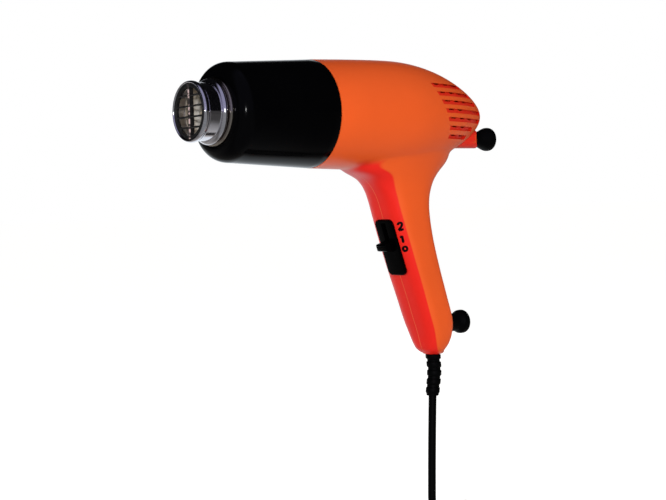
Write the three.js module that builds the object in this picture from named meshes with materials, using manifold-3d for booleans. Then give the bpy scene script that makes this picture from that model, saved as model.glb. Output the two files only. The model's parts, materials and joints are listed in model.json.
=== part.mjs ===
// Hot air tool: a pistol-shaped electric hot air gun with a steel nozzle, a black heat shield, an orange
// two-part housing, a three-position slide switch, two rubber feet and a mains cord.
// Millimetres. +X is the way the air blows, +Y the tool's left, +Z up. The origin is the middle of the grip.
// Most sizes below are in the barrel frame: X = 0 at the joint of shield and housing, Z = 0 on the barrel's axis.
import * as THREE from 'three';
import { mergeVertices } from 'three/addons/utils/BufferGeometryUtils.js';
import Module from 'manifold-3d';

const wasm = await Module();
wasm.setup();

// Driving dimensions
const gap = 0.3;                 // running and seating clearance between neighbours
const wall = 2.5;                // housing wall
const gripX = -86.5;             // middle of the grip, seen from the barrel frame
const gripZ = -100;

const jointRadius = 35.5;        // shield and housing meet at this radius
const shieldFrontRadius = 31.6;
const shieldLength = 62;         // up to the rounded shoulder
const shieldSnoutX = 73.5;       // front end of the shield
const shieldWall = 2.2;
const snoutLip = 0.4;            // flat front face round the bore
const shoulderFullness = 2.3;    // 2 is an ellipse, more is squarer
const spigotLength = 8;

const tubeRadius = 18.2;         // steel nozzle tube, outside
const tubeWall = 1;
const tubeBackX = 5.6;           // front face of the flange at the tube's rear
const flangeWidth = 5.8;
const flangeThick = 1.2;
const ringWidth = 3.5;           // between the tube and the shield's bore
const ringDeep = 3;              // how deep the ring sits in the shield
const ringProud = 1.7;           // how far it stands out
const beadWidth = 2.3;           // rolled bead in front of the ring
const beadHalf = 2.1;
const neckLength = 14.7;         // from the middle of the bead to the front of the rim
const rimWidth = 0.8;            // rolled rim, outside the tube
const rimDepth = 3.7;

const snoutBore = tubeRadius + ringWidth;
const shieldSnoutRadius = snoutBore + snoutLip;
const ringFrontX = shieldSnoutX + ringProud;
const beadX = ringFrontX + gap + beadHalf;
const beadRadius = tubeRadius + beadWidth;
const nozzleX = beadX + neckLength;
const rimRadius = tubeRadius + rimWidth;
const rimBore = tubeRadius - tubeWall;

const tailX = -153;              // rear end of the barrel
const footBossRadius = 6.5;
const footBossSetback = 0.8;     // the boss ends this far ahead of the barrel's end
const upperFootZ = -15.8;
const footHeadRadius = 8.4;
const lowerFootZ = -146.3;
const lowerFootX = -133.3;
const upperFootX = tailX + footBossSetback;

const screwShank = 1.4;
const screwHead = 2.9;
const bossRadius = 4.9;

const rake = THREE.MathUtils.degToRad(18);   // the grip leans back by this angle
const switchX = -67.4;           // middle of the switch plate on the grip's front
const switchZ = -90.3;
const plateLength = 39;
const plateWidth = 16;
const plateCorner = 3.5;
const plateProud = 1.3;
const plateSunk = 1.2;
const knobTravel = 14.4;         // from position 0 to position 2
const knobWidth = 10;

const motorRadius = 14;
const motorFrontX = -47;
const motorLength = 33;
const shaftRadius = 1.6;
const fanReach = 14;             // from the motor's front to the middle of the fan
const bladeGap = 0.8;            // between the blades and the shroud
const shroudWall = 1.6;
const motorBackX = motorFrontX - motorLength;
const fanX = motorFrontX + fanReach;
const shroudRadius = jointRadius - wall;
const fanRadius = shroudRadius - shroudWall - bladeGap;

const capacitorX = -98;          // middle of the capacitor, in the grip
const capacitorZ = -129;

const cordDiameter = 5.6;
const cordX = -103.4;            // where the cord leaves the handle
const cordOutZ = -165.2;
const cordTilt = 0.055;          // the cord and its strain relief lean by this angle
const cordEndZ = -143;           // upper end of the cord's sheath, inside the grip
const clampZ = -152;
const floorZ = -316;             // the surface under the held tool, where the spare cord lies
const coilMiddleRadius = 33.6;
const coilPitch = 6.2;
const coilLoops = 8;
const coilLayers = 4;

// Materials
const paint = {
  orange: [0xe8541c, 0.38, 0],
  black: [0x0b0b0d, 0.28, 0],
  rubber: [0x101010, 0.75, 0],
  steel: [0xb9b4b8, 0.18, 1],
  darkSteel: [0x3a3a3c, 0.35, 0.9],
  mica: [0xc9bfa6, 0.6, 0],
  ceramic: [0xe6dccb, 0.7, 0],
  wire: [0x8f6a55, 0.4, 0.8],
  brass: [0xb58f4e, 0.3, 1],
  fan: [0x2d2f33, 0.5, 0],
  board: [0x24603a, 0.6, 0],
  cable: [0x0d0d0e, 0.6, 0],
  blueWire: [0x2a4fa8, 0.5, 0],
  brownWire: [0x6a3d22, 0.5, 0],
  clamp: [0xd9d6cf, 0.6, 0],
  yellow: [0xc9a227, 0.5, 0],
};

function material(kind) {
  const [color, roughness, metalness] = paint[kind];
  return new THREE.MeshStandardMaterial({ color, roughness, metalness });
}

// Geometry helpers
function bare(geometry) {
  const g = geometry.clone();
  g.deleteAttribute('normal');
  g.deleteAttribute('uv');
  return mergeVertices(g, 1e-4);
}

function signedVolume(g) {
  const p = g.attributes.position;
  const i = g.index.array;
  let sum = 0;
  for (let k = 0; k < i.length; k += 3) {
    const a = new THREE.Vector3().fromBufferAttribute(p, i[k]);
    const b = new THREE.Vector3().fromBufferAttribute(p, i[k + 1]);
    const c = new THREE.Vector3().fromBufferAttribute(p, i[k + 2]);
    sum += a.dot(b.cross(c));
  }
  return sum;
}

function outward(geometry) {
  const g = bare(geometry);
  const kept = [];
  const old = g.index.array;
  for (let k = 0; k < old.length; k += 3) {
    const [a, b, c] = [old[k], old[k + 1], old[k + 2]];
    if (a !== b && b !== c && c !== a) kept.push(a, b, c);
  }
  g.setIndex(kept);
  if (signedVolume(g) < 0) {
    for (let k = 0; k < kept.length; k += 3) [kept[k], kept[k + 1]] = [kept[k + 1], kept[k]];
    g.setIndex(kept);
  }
  return g;
}

function solid(geometry) {
  const g = outward(geometry);
  return new wasm.Manifold(new wasm.Mesh({
    numProp: 3,
    vertProperties: new Float32Array(g.attributes.position.array),
    triVerts: new Uint32Array(g.index.array),
  }));
}

function shape(manifold) {
  const m = manifold.getMesh();
  const g = new THREE.BufferGeometry();
  g.setAttribute('position', new THREE.BufferAttribute(new Float32Array(m.vertProperties), 3));
  g.setIndex(new THREE.BufferAttribute(new Uint32Array(m.triVerts), 1));
  return g;
}

function join(...solids) {
  return solids.reduce((a, b) => a.add(b));
}

// A turned piece about an axis along X. The profile is a list of [x, radius].
function turnedX(profile, segments = 36) {
  const points = profile.map(([x, r]) => new THREE.Vector2(r, x));
  return new THREE.LatheGeometry(points, segments).rotateZ(-Math.PI / 2);
}

// A turned piece about an axis along Z. The profile is a list of [z, radius].
function turnedZ(profile, segments = 20) {
  const points = profile.map(([z, r]) => new THREE.Vector2(r, z));
  return new THREE.LatheGeometry(points, segments).rotateX(Math.PI / 2);
}

// A turned piece about an axis along Y. The profile is a list of [y, radius].
function turnedY(profile, segments = 16) {
  const points = profile.map(([y, r]) => new THREE.Vector2(r, y));
  return new THREE.LatheGeometry(points, segments);
}

function disc(x0, x1, radius, segments = 36) {
  return turnedX([[x0, 0], [x0, radius], [x1, radius], [x1, 0]], segments);
}

function ring(x0, x1, inner, outer, segments = 36) {
  return turnedX([[x0, inner], [x0, outer], [x1, outer], [x1, inner], [x0, inner]], segments);
}

function block(x0, x1, y0, y1, z0, z1) {
  return new THREE.BoxGeometry(x1 - x0, y1 - y0, z1 - z0)
    .translate((x0 + x1) / 2, (y0 + y1) / 2, (z0 + z1) / 2);
}

// A body drawn through closed rings with the same number of points, closed by a fan at each end.
function loft(rings) {
  const n = rings[0].length;
  const positions = rings.flat().flatMap((p) => [p.x, p.y, p.z]);
  const index = [];
  for (let r = 0; r + 1 < rings.length; r++) {
    for (let k = 0; k < n; k++) {
      const a = r * n + k;
      const b = r * n + (k + 1) % n;
      index.push(a, b, b + n, a, b + n, a + n);
    }
  }
  for (const end of [0, rings.length - 1]) {
    const middle = rings[end].reduce((s, p) => s.add(p), new THREE.Vector3()).divideScalar(n);
    const centre = positions.length / 3;
    positions.push(middle.x, middle.y, middle.z);
    for (let k = 0; k < n; k++) {
      const a = end * n + k;
      const b = end * n + (k + 1) % n;
      if (end === 0) index.push(centre, b, a);
      else index.push(centre, a, b);
    }
  }
  const g = new THREE.BufferGeometry();
  g.setAttribute('position', new THREE.Float32BufferAttribute(positions, 3));
  g.setIndex(index);
  return g;
}

// A rod of a round section with the given number of sides along a smooth route.
function rod(points, radius, sides = 8, steps = 24, tension = 0.5) {
  const route = new THREE.CatmullRomCurve3(points.map((p) => new THREE.Vector3(...p)), false, 'catmullrom', tension);
  const section = new THREE.Shape();
  for (let k = 0; k < sides; k++) {
    const a = 2 * Math.PI * k / sides;
    if (k === 0) section.moveTo(radius, 0);
    else section.lineTo(radius * Math.cos(a), radius * Math.sin(a));
  }
  return new THREE.ExtrudeGeometry(section, { steps, bevelEnabled: false, extrudePath: route });
}

// A winding about the X axis: each ring of the wire's section stands across the wire
function axialWinding(points, radius, sides) {
  const rings = points.map((p, i) => {
    const along = points[Math.min(i + 1, points.length - 1)].clone().sub(points[Math.max(i - 1, 0)]).normalize();
    const out = new THREE.Vector3(0, p.y, p.z).normalize();
    const side = along.clone().cross(out).normalize();
    return Array.from({ length: sides }, (_, k) => {
      const a = 2 * Math.PI * k / sides;
      return p.clone().addScaledVector(out, radius * Math.cos(a)).addScaledVector(side, radius * Math.sin(a));
    });
  });
  return loft(rings);
}

// A closed sweep of a ring section along computed points, for windings. The section stays upright.
function winding(points, radius, sides) {
  const rings = points.map((p, i) => {
    const before = points[Math.max(i - 1, 0)];
    const after = points[Math.min(i + 1, points.length - 1)];
    const along = after.clone().sub(before).normalize();
    const side = new THREE.Vector3(0, 0, 1).cross(along).normalize();
    const up = along.clone().cross(side);
    return Array.from({ length: sides }, (_, k) => {
      const a = 2 * Math.PI * k / sides;
      return p.clone().addScaledVector(side, radius * Math.cos(a)).addScaledVector(up, radius * Math.sin(a));
    });
  });
  return loft(rings);
}

// Scene graph
const tool = new THREE.Group();
tool.position.set(-gripX, 0, -gripZ);

function add(name, geometry, kind, parent = tool) {
  const mesh = new THREE.Mesh(outward(geometry), material(kind));
  mesh.name = name;
  parent.add(mesh);
  return mesh;
}

// Housing: the barrel's outline behind the joint, as [x, radius]
const outerSides = 36;
const innerSides = 24;
const barrelSwell = 1.6;         // the barrel is widest over the motor
const waistX = motorFrontX - 9;
const barrelOutline = [
  [0, jointRadius], [waistX / 2, jointRadius + barrelSwell - 0.6], [waistX, jointRadius + barrelSwell],
  [tailX + 80, jointRadius + barrelSwell - 0.4], [tailX + 65, 34.8], [tailX + 51, 31.6], [tailX + 38, 27.3],
  [tailX + 26, 22.1], [tailX + 16, 16.7], [tailX + 7.5, 10.8], [tailX + 2, 5.2],
];

function barrelProfile(inset) {
  const used = inset === wall ? barrelOutline.filter((_, k) => k % 2 === 0) : barrelOutline;
  const body = used.map(([x, r]) => [x + inset * Math.max(0, (-x - 90) / 60), r - inset]);
  const shown = body.filter(([, r]) => r > 1.5);
  const front = inset > 0 ? 1 : 0;
  return [[front, 0], [front, shown[0][1]], ...shown.slice(front ? 0 : 1), [tailX + inset * 1.1, 0]];
}

// Grip: level sections as [z, front x, back x, half width, squareness]
const gripSections = [
  [-12, -22, -112, 27, 2], [-22, -16, -119, 26.5, 2.05], [-29, -19, -118.5, 23.4, 2.1],
  [-34, -26, -114.5, 21.4, 2.2], [-38, -33, -109, 20.3, 2.4], [-43, -45, -102.8, 19.2, 2.7],
  [-49, -51.7, -98.2, 18.3, 3], [-57, -56.4, -94.8, 17.7, 3.4], [-68, -60.3, -94, 17.5, 3.6],
  [-85, -65.9, -96.3, 17.5, 3.6], [-105, -72.9, -101.3, 17.4, 3.6], [-125, -80.3, -107.5, 17, 3.6],
  [-142, -86.2, -112.8, 16.5, 3.5], [-152, -89.7, -113.2, 15.1, 3.2], [-159, -91.7, -111.7, 13.2, 2.8],
  [-163.2, -93.4, -109.3, 11, 2.6], [-166, -96.2, -108.2, 8.4, 2.3],
];

function gripSection([z, front, back, half, square], inset) {
  const count = inset > 0 ? 16 : 24;
  const middle = (front + back) / 2;
  const depth = Math.max((front - back) / 2 - inset, 0.8);
  const width = Math.max(half - inset, 0.8);
  const turn = 2 * Math.PI / count;
  const bulge = (v) => Math.sign(v) * Math.abs(v) ** (2 / square);
  return Array.from({ length: count }, (_, k) => new THREE.Vector3(
    middle + depth * bulge(Math.cos(k * turn)), width * bulge(Math.sin(k * turn)), z));
}

function gripBody(inset) {
  const inside = gripSections.filter(([z], k) => z > -163 && (k < 8 || k % 2 === 0));
  const used = inset > 0 ? inside : gripSections;
  return loft(used.map((s) => gripSection(s, inset)));
}

const glandRadius = 7.8;
const glandChamfer = 1.6;
const glandEndZ = cordOutZ - 1.6;
const glandTopZ = cordOutZ + 15.2;
const reliefRadius = 4.9;
const collarRadius = 5.9;        // the strain relief's inner collar, held in a groove of the housing
const collarLow = 6.7;
const collarHigh = 8.7;
const footStem = 3.2;
const footNeck = 5.2;

// A cylinder along Y at a place in the barrel frame
function pillar(x, z, radius, y0, y1, segments = 8) {
  return turnedY([[y0, 0], [y0, radius], [y1, radius], [y1, 0]], segments).translate(x, 0, z);
}

// Places of the six housing screws, as [x, z]
const screwPlaces = [
  [-15, 27.5], [-15, -27.5], [tailX + 29, 3], [-76, -53], [capacitorX + 12.5, capacitorZ + 12],
  [cordX + 9.8, clampZ + 4],
];
const screwSeat = -5;            // the screw heads sit this far right of the middle
const screwTip = 9;

// Ribs inside the housing, across the barrel, as [x0, x1, bore]
const ribThick = 3;
const barrelRibs = [motorFrontX - 2 * ribThick, motorBackX + ribThick].map((x) => [x, x + ribThick, motorRadius + gap]);

const shellOuter = join(
  solid(turnedX(barrelProfile(0), outerSides)),
  solid(gripBody(0)),
  solid(disc(upperFootX + gap, upperFootX + 26, footBossRadius, 24).translate(0, 0, upperFootZ)),
  solid(turnedZ([[glandEndZ, 0], [glandEndZ, glandRadius - glandChamfer], [glandEndZ + glandChamfer, glandRadius],
    [glandTopZ, glandRadius], [glandTopZ, 0]]).translate(cordX, 0, 0)),
);

const cavityRound = solid(turnedX(barrelProfile(wall), innerSides));
const ribPlates = barrelRibs.map(([x0, x1, bore]) => {
  const webs = join(solid(block(x0, x1, -40, 40, -2.5, 2.5)), solid(block(x0, x1, -2.5, 2.5, 0, 40)));
  const rim = solid(disc(x0, x1, bore + 2.5));
  return join(webs, rim).subtract(solid(disc(x0 - 1, x1 + 1, bore)));
});
const bosses = screwPlaces.map(([x, z]) => solid(pillar(x, z, bossRadius, -60, 60)));
const footCollar = solid(disc(upperFootX - 4, upperFootX + 28, footStem + 3, 24).translate(0, 0, upperFootZ));
const cavity = join(
  cavityRound.subtract(join(...ribPlates)),
  solid(gripBody(wall)),
).subtract(join(...bosses, footCollar));

// Switch place: X points out of the grip, Z points up along it
const switchFrame = new THREE.Matrix4().makeRotationY(rake).setPosition(switchX, 0, switchZ);

function roundedPlate(width, length, corner, n0, n1) {
  const [w, l] = [width / 2, length / 2];
  const s = new THREE.Shape();
  s.moveTo(-w + corner, -l);
  s.lineTo(w - corner, -l);
  s.absarc(w - corner, -l + corner, corner, -Math.PI / 2, 0);
  s.absarc(w - corner, l - corner, corner, 0, Math.PI / 2);
  s.absarc(-w + corner, l - corner, corner, Math.PI / 2, Math.PI);
  s.absarc(-w + corner, -l + corner, corner, Math.PI, 1.5 * Math.PI);
  const plate = new THREE.ExtrudeGeometry(s, { depth: n1 - n0, bevelEnabled: false, curveSegments: 5 });
  return plate.rotateX(Math.PI / 2).rotateZ(Math.PI / 2).translate(n0, 0, 0);
}

const knobRestW = 1.2;           // middle of the knob at position 0, up the grip from the plate's middle
const stemHalf = 2;
const slotEnd = 0.4;
const slotLow = knobRestW - stemHalf - slotEnd;
const slotHigh = knobRestW + knobTravel + stemHalf + slotEnd;
const knobFootHalf = 3.4;

function atSwitch(geometry) {
  return solid(geometry.applyMatrix4(switchFrame));
}

const switchCuts = join(
  atSwitch(roundedPlate(plateWidth + 2 * gap, plateLength + 2 * gap, plateCorner + gap, -plateSunk - gap, 8)),
  atSwitch(block(-8, 0, -5, 5, slotLow - 3, slotHigh + 3)),
);

// Air inlet slots on both sides of the tail: a shallow groove with three windows through its upper part
const slotTopZ = 18.75;
const slotPitch = 5.75;
const slotHeight = 2.9;
const slotDepth = 1.4;
const windowHeight = 1.3;
const slotSpans = [               // front and back end of each slot, from the barrel's rear end
  [70.5, 33], [67.5, 22], [64.5, 18], [61.4, 8], [58.7, 9], [56.3, 23], [55, 29],
];
const windowLength = 5.5;
const windowPitch = 11.5;
const firstWindow = 7.5;         // from a slot's front end to the middle of its first window

function slotTools(side) {
  const skin = solid(turnedX(barrelProfile(slotDepth), innerSides));
  const grooves = [];
  const windows = [];
  for (let k = 0; k < slotSpans.length; k++) {
    const z = slotTopZ - k * slotPitch;
    const [front, back] = slotSpans[k].map((reach) => tailX + reach);
    const [y0, y1] = side > 0 ? [8, 60] : [-60, -8];
    grooves.push(solid(block(back, front, y0, y1, z - slotHeight / 2, z + slotHeight / 2)));
    for (let middle = front - firstWindow; middle > back + 4 && middle > front - 35; middle -= windowPitch) {
      const top = z + slotHeight / 2;
      windows.push(solid(block(middle - windowLength / 2, middle + windowLength / 2, y0, y1, top - windowHeight, top)));
    }
  }
  return join(join(...grooves).subtract(skin), join(...windows).subtract(join(...bosses)));
}

const feetHoles = join(
  solid(disc(upperFootX - 14, upperFootX + 36, footStem + gap, 20).translate(0, 0, upperFootZ)),
  solid(disc(lowerFootX + 5, lowerFootX + 35, footNeck + gap, 20).translate(0, 0, lowerFootZ)),
);
const glandHole = solid(turnedZ([[glandEndZ - 5, 0], [glandEndZ - 5, reliefRadius + gap],
  [glandTopZ, reliefRadius + gap], [glandTopZ, 0]]).translate(cordX, 0, 0));
const collarGroove = solid(turnedZ([[collarLow - gap, 0], [collarLow - gap, collarRadius + gap],
  [collarHigh + gap, collarRadius + gap], [collarHigh + gap, 0]]).rotateY(-cordTilt).translate(cordX, 0, cordOutZ));

const shellWhole = shellOuter.subtract(cavity).subtract(join(switchCuts, feetHoles, glandHole, collarGroove));

function half(side) {
  const room = side > 0 ? block(-200, 50, 0, 90, -200, 90) : block(-200, 50, -90, 0, -200, 90);
  let shell = shellWhole.intersect(solid(room)).subtract(slotTools(side));
  for (const [x, z] of screwPlaces) {
    const holeTools = side > 0
      ? [pillar(x, z, screwShank + gap, -1, screwTip + 1)]
      : [pillar(x, z, screwHead + gap, -60, screwSeat), pillar(x, z, screwShank + gap, -60, 1)];
    for (const hole of holeTools) shell = shell.subtract(solid(hole));
  }
  return shape(shell);
}

add('left_housing', half(1), 'orange');
add('right_housing', half(-1), 'orange');

screwPlaces.forEach(([x, z], k) => {
  const headTop = screwSeat - gap - 2.2;
  const profile = [[headTop, 0], [headTop + 0.5, screwHead - 0.5], [headTop + 1, screwHead],
    [screwSeat - gap, screwHead], [screwSeat - gap, screwShank], [screwTip - 1.5, screwShank], [screwTip, 0]];
  add(`housing_screw_${k + 1}`, turnedY(profile, 8).translate(x, 0, z), 'darkSteel');
});

// Heat shield: a black sleeve whose spigot sits inside the housing and whose snout holds the nozzle
const spigotRadius = jointRadius - wall - gap;
const shoulderSteps = 7;
const shoulder = Array.from({ length: shoulderSteps + 1 }, (_, k) => {
  const a = Math.PI / 2 * k / shoulderSteps;
  const along = Math.sin(a) ** (2 / shoulderFullness);
  const out = Math.max(Math.cos(a), 0) ** (2 / shoulderFullness);
  return [
    shieldLength + (shieldSnoutX - shieldLength) * along,
    shieldSnoutRadius + (shieldFrontRadius - shieldSnoutRadius) * out,
  ];
});
add('heat_shield', turnedX([
  [-spigotLength, spigotRadius - shieldWall], [-spigotLength, spigotRadius], [gap, spigotRadius],
  [gap, jointRadius - 0.1], ...shoulder, [shieldSnoutX, snoutBore], [shieldSnoutX - ringDeep, snoutBore],
  [shieldSnoutX - 2 * ringDeep, snoutBore + 4.4], [shieldLength - 1.5, shieldFrontRadius - shieldWall],
  [2, spigotRadius - shieldWall], [-spigotLength, spigotRadius - shieldWall],
], 32), 'black');

// Nozzle tube with a rolled rim, a bead and a flange at its rear
const boreRadius = tubeRadius - tubeWall;
const rimMiddle = (rimRadius + rimBore) / 2;
const rimHalf = (rimRadius - rimBore) / 2;
const rimArc = Array.from({ length: 6 }, (_, k) => {
  const a = Math.PI * k / 5;
  return [nozzleX - rimHalf + rimHalf * Math.sin(a), rimMiddle + rimHalf * Math.cos(a)];
});
const beadArc = Array.from({ length: 5 }, (_, k) => {
  const a = Math.PI * (1 - k / 4);
  return [beadX + beadHalf * Math.cos(a), tubeRadius + (beadRadius - tubeRadius) * Math.sin(a)];
});
const flangeRadius = tubeRadius + flangeWidth;
const flangeBackX = tubeBackX - flangeThick;
add('nozzle_tube', turnedX([
  [flangeBackX, boreRadius], [flangeBackX, flangeRadius], [tubeBackX, flangeRadius],
  [tubeBackX, tubeRadius], ...beadArc, [nozzleX - rimDepth - 0.9, tubeRadius], [nozzleX - rimDepth, rimRadius - 0.2],
  ...rimArc, [nozzleX - rimDepth, rimBore], [nozzleX - rimDepth - 1.6, boreRadius],
  [flangeBackX, boreRadius],
], 28), 'steel');

// Ring that centres the nozzle in the shield's snout
add('retaining_ring', turnedX([
  [shieldSnoutX - ringDeep, tubeRadius + gap], [shieldSnoutX - ringDeep, snoutBore - gap],
  [ringFrontX - 0.7, snoutBore - gap], [ringFrontX, snoutBore - gap - 0.7], [ringFrontX, tubeRadius + gap],
  [shieldSnoutX - ringDeep, tubeRadius + gap],
], 30), 'steel');

// Outlet grille: a ring, four level bars and one upright bar
const grilleX = nozzleX - 0.9;   // middle of the level bars
const grilleRadius = rimBore - gap;
const grilleRim = 2;             // width of the grille's ring
const barRadius = 0.6;
const barPitch = 6.5;
const uprightHalf = 1.25;
const grilleBars = [-1.5, -0.5, 0.5, 1.5].map((k) => {
  const reach = Math.sqrt(grilleRadius ** 2 - (k * barPitch) ** 2) - 0.5;
  return solid(pillar(grilleX, k * barPitch, barRadius, -reach, reach, 6));
});
add('outlet_grille', shape(join(
  solid(ring(grilleX - 1.8, grilleX + 0.5, grilleRadius - grilleRim, grilleRadius, 30)),
  solid(block(grilleX - 2.5, grilleX + 0.3, -uprightHalf, uprightHalf, -grilleRadius + 0.4, grilleRadius - 0.4)),
  ...grilleBars,
)), 'darkSteel');

// Heater: a mica sleeve, two interlocked mica plates, one winding and a ceramic base
const sleeveRadius = boreRadius - gap;
const sleeveWall = 0.7;
const heaterBack = flangeBackX - 0.2;
const sleeveFront = grilleX - 7.4;
const heaterFront = sleeveFront - 4;
const plateThin = 1.2;
const windingRoom = 3.6;         // between the plates' edges and the sleeve
const plateHalf = sleeveRadius - sleeveWall - windingRoom;
add('mica_sleeve', ring(heaterBack + 1.3, sleeveFront, sleeveRadius - sleeveWall, sleeveRadius, 24), 'mica');

const plateMiddle = (heaterBack + heaterFront) / 2;
const slotHalf = plateThin / 2 + gap;
add('upright_heater_plate', shape(
  solid(block(heaterBack + gap, heaterFront, -plateThin / 2, plateThin / 2, -plateHalf, plateHalf))
    .subtract(solid(block(plateMiddle - gap, heaterFront + 1, -2, 2, -slotHalf, slotHalf)))), 'mica');
add('level_heater_plate', shape(
  solid(block(heaterBack + gap, heaterFront - 4, -plateHalf, plateHalf, -plateThin / 2, plateThin / 2))
    .subtract(solid(block(heaterBack - 1, plateMiddle + gap, -slotHalf, slotHalf, -2, 2)))), 'mica');

const heaterTurns = 6;
const heaterSteps = 12;
const heaterWire = 0.8;
const windingBack = tubeBackX + 8.4;
const windingLength = heaterFront - 10 - windingBack;
const heaterWinding = Array.from({ length: heaterTurns * heaterSteps + 1 }, (_, k) => {
  const a = 2 * Math.PI * k / heaterSteps;
  const r = (plateHalf + gap + heaterWire) / Math.cos(Math.PI / heaterSteps);
  const x = windingBack + windingLength * k / (heaterTurns * heaterSteps);
  return new THREE.Vector3(x, r * Math.cos(a), r * Math.sin(a));
});
add('heating_winding', axialWinding(heaterWinding, heaterWire, 4), 'wire');

const baseRadius = spigotRadius - shieldWall - gap;
const baseBore = boreRadius - 2;
const baseBack = heaterBack - 6.7;
const crossReach = baseBore + 0.8;
const crossHalf = 1.6;
add('heater_base', shape(join(
  solid(ring(baseBack, heaterBack - gap - 0.1, baseBore, baseRadius, 30)),
  solid(block(baseBack, heaterBack - 0.2, -crossReach, crossReach, -crossHalf, crossHalf)),
  solid(block(baseBack, heaterBack - 0.2, -crossHalf, crossHalf, -crossReach, crossReach)),
)), 'ceramic');
add('thermal_cutout', block(windingBack + 6, windingBack + 16, 3, 9, plateThin / 2 + gap, plateThin / 2 + gap + 3.4), 'steel');

// Fan unit: shroud with struts, fan, shaft and motor
const strutX0 = motorFrontX + gap;
const strutX1 = strutX0 + 3;
const struts = [0, 1, 2, 3].map((k) => solid(
  block(strutX0, strutX1, 8, shroudRadius - 1, -1.4, 1.4).rotateX(Math.PI / 4 + k * Math.PI / 2)));
add('fan_shroud', shape(join(
  solid(ring(strutX0, fanX + 12.2, shroudRadius - shroudWall, shroudRadius, 36)),
  solid(ring(strutX0, strutX1, 4, 10, 28)),
  ...struts,
)), 'fan');

const bladeCount = 9;
const hubRadius = 8.5;
const hubHalf = 6;
const blades = Array.from({ length: bladeCount }, (_, k) => {
  const blade = new THREE.BoxGeometry(9.5, 1.1, fanRadius - hubRadius + 1.5)
    .rotateZ(THREE.MathUtils.degToRad(38))
    .translate(fanX, 0, (fanRadius + hubRadius - 1.5) / 2 - 0.4);
  return solid(blade.rotateX(2 * Math.PI * k / bladeCount));
});
add('fan', shape(join(
  solid(turnedX([[fanX - hubHalf, 0], [fanX - hubHalf, hubRadius], [fanX + 3, hubRadius], [fanX + 5.4, 6.6],
    [fanX + hubHalf + 0.6, 3.4], [fanX + hubHalf + 1, 0]], 16)),
  ...blades,
).subtract(solid(disc(fanX - hubHalf - 1, fanX + 3, shaftRadius + gap, 16)))), 'fan');
const shaftBackX = motorBackX - 7;
add('motor_shaft', disc(shaftBackX, fanX + 3 - gap, shaftRadius, 14), 'steel');

const shaftBore = shaftRadius + gap;
add('motor_can', turnedX([
  [motorBackX, shaftBore], [motorBackX, motorRadius - 0.8], [motorBackX + 0.8, motorRadius],
  [motorFrontX - 0.8, motorRadius], [motorFrontX, motorRadius - 0.8], [motorFrontX, shaftBore],
  [motorBackX, shaftBore],
], 24), 'darkSteel');
add('motor_end_cap', ring(motorBackX - 4, motorBackX - gap, shaftBore, motorRadius - 2, 20), 'black');
const boardX = motorBackX - 6;
add('rectifier_board', ring(boardX - 1.6, boardX, shaftBore + 0.6, 12, 20), 'board');
for (let k = 0; k < 4; k++) {
  const a = Math.PI / 4 + k * Math.PI / 2;
  add(`diode_${k + 1}`, disc(-2.4, 2.4, 1.4, 10).rotateX(a)
    .translate(boardX - 1.6 - gap - 2.4, 7.5 * Math.cos(a), 7.5 * Math.sin(a)), 'black');
}
for (const [k, side] of [[1, 1], [2, -1]]) {
  add(`board_post_${k}`, block(boardX + gap, motorBackX - 4 - gap, side * 8 - 1, side * 8 + 1, -2, 2), 'brass');
}

// Switch: plate, knob and body, all in the switch frame
const switchGroup = new THREE.Group();
switchGroup.position.set(switchX, 0, switchZ);
switchGroup.rotation.y = rake;
tool.add(switchGroup);

add('switch_plate', shape(
  solid(roundedPlate(plateWidth, plateLength, plateCorner, -plateSunk, plateProud))
    .subtract(solid(block(-5, 5, -stemHalf - gap, stemHalf + gap, slotLow, slotHigh)))), 'black', switchGroup);

const knobHeight = 7;
const knobBase = plateProud + gap;
const knobProfile = new THREE.Shape([
  [knobBase, -3.4], [knobBase + 3, -2.6], [knobBase + knobHeight - 0.8, -1.3], [knobBase + knobHeight, -0.4],
  [knobBase + knobHeight, 2.8], [knobBase + knobHeight - 0.8, 3.8], [knobBase, 3.8],
].map(([n, w]) => new THREE.Vector2(n, w)));
const thumbPiece = new THREE.ExtrudeGeometry(knobProfile, { depth: knobWidth - 2, bevelEnabled: true,
  bevelThickness: 1, bevelSize: 0.6, bevelOffset: -0.6, bevelSegments: 2, curveSegments: 2 })
  .translate(0, 0, -(knobWidth - 2) / 2).rotateX(Math.PI / 2);
const stemInner = -plateSunk - gap;
add('switch_knob', shape(join(
  solid(thumbPiece.translate(0, 0, knobRestW)),
  solid(block(stemInner - 1, knobBase + 1, -stemHalf, stemHalf, knobRestW - stemHalf, knobRestW + stemHalf)),
  solid(block(stemInner - 1.6, stemInner, -3.6, 3.6, knobRestW - knobFootHalf, knobRestW + knobFootHalf)),
)), 'black', switchGroup);

const bodyFront = -wall - 0.9;
add('switch_body', shape(
  solid(block(bodyFront - 13, bodyFront, -7.5, 7.5, slotLow - 4.5, slotHigh + 4.5))
    .subtract(solid(block(bodyFront - 1.2, bodyFront + 1, -4.4, 4.4, slotLow - 2.6, slotHigh + 2.6)))),
'darkSteel', switchGroup);
for (let k = 0; k < 3; k++) {
  add(`switch_terminal_${k + 1}`, block(bodyFront - 13 - gap - 5, bodyFront - 13 - gap, -2.4, 2.4,
    1 + k * 6.5, 1.8 + k * 6.5), 'brass', switchGroup);
}

// Parts in the grip below the switch: capacitor, cord clamp and its screws, cord end and leads
const gripGroup = new THREE.Group();
gripGroup.position.set(capacitorX, 0, capacitorZ);
gripGroup.rotation.y = rake;
tool.add(gripGroup);
const capacitorHalf = 6.5;
add('capacitor', block(-6, 7, -capacitorHalf, capacitorHalf, -8, 8), 'yellow', gripGroup);

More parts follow.
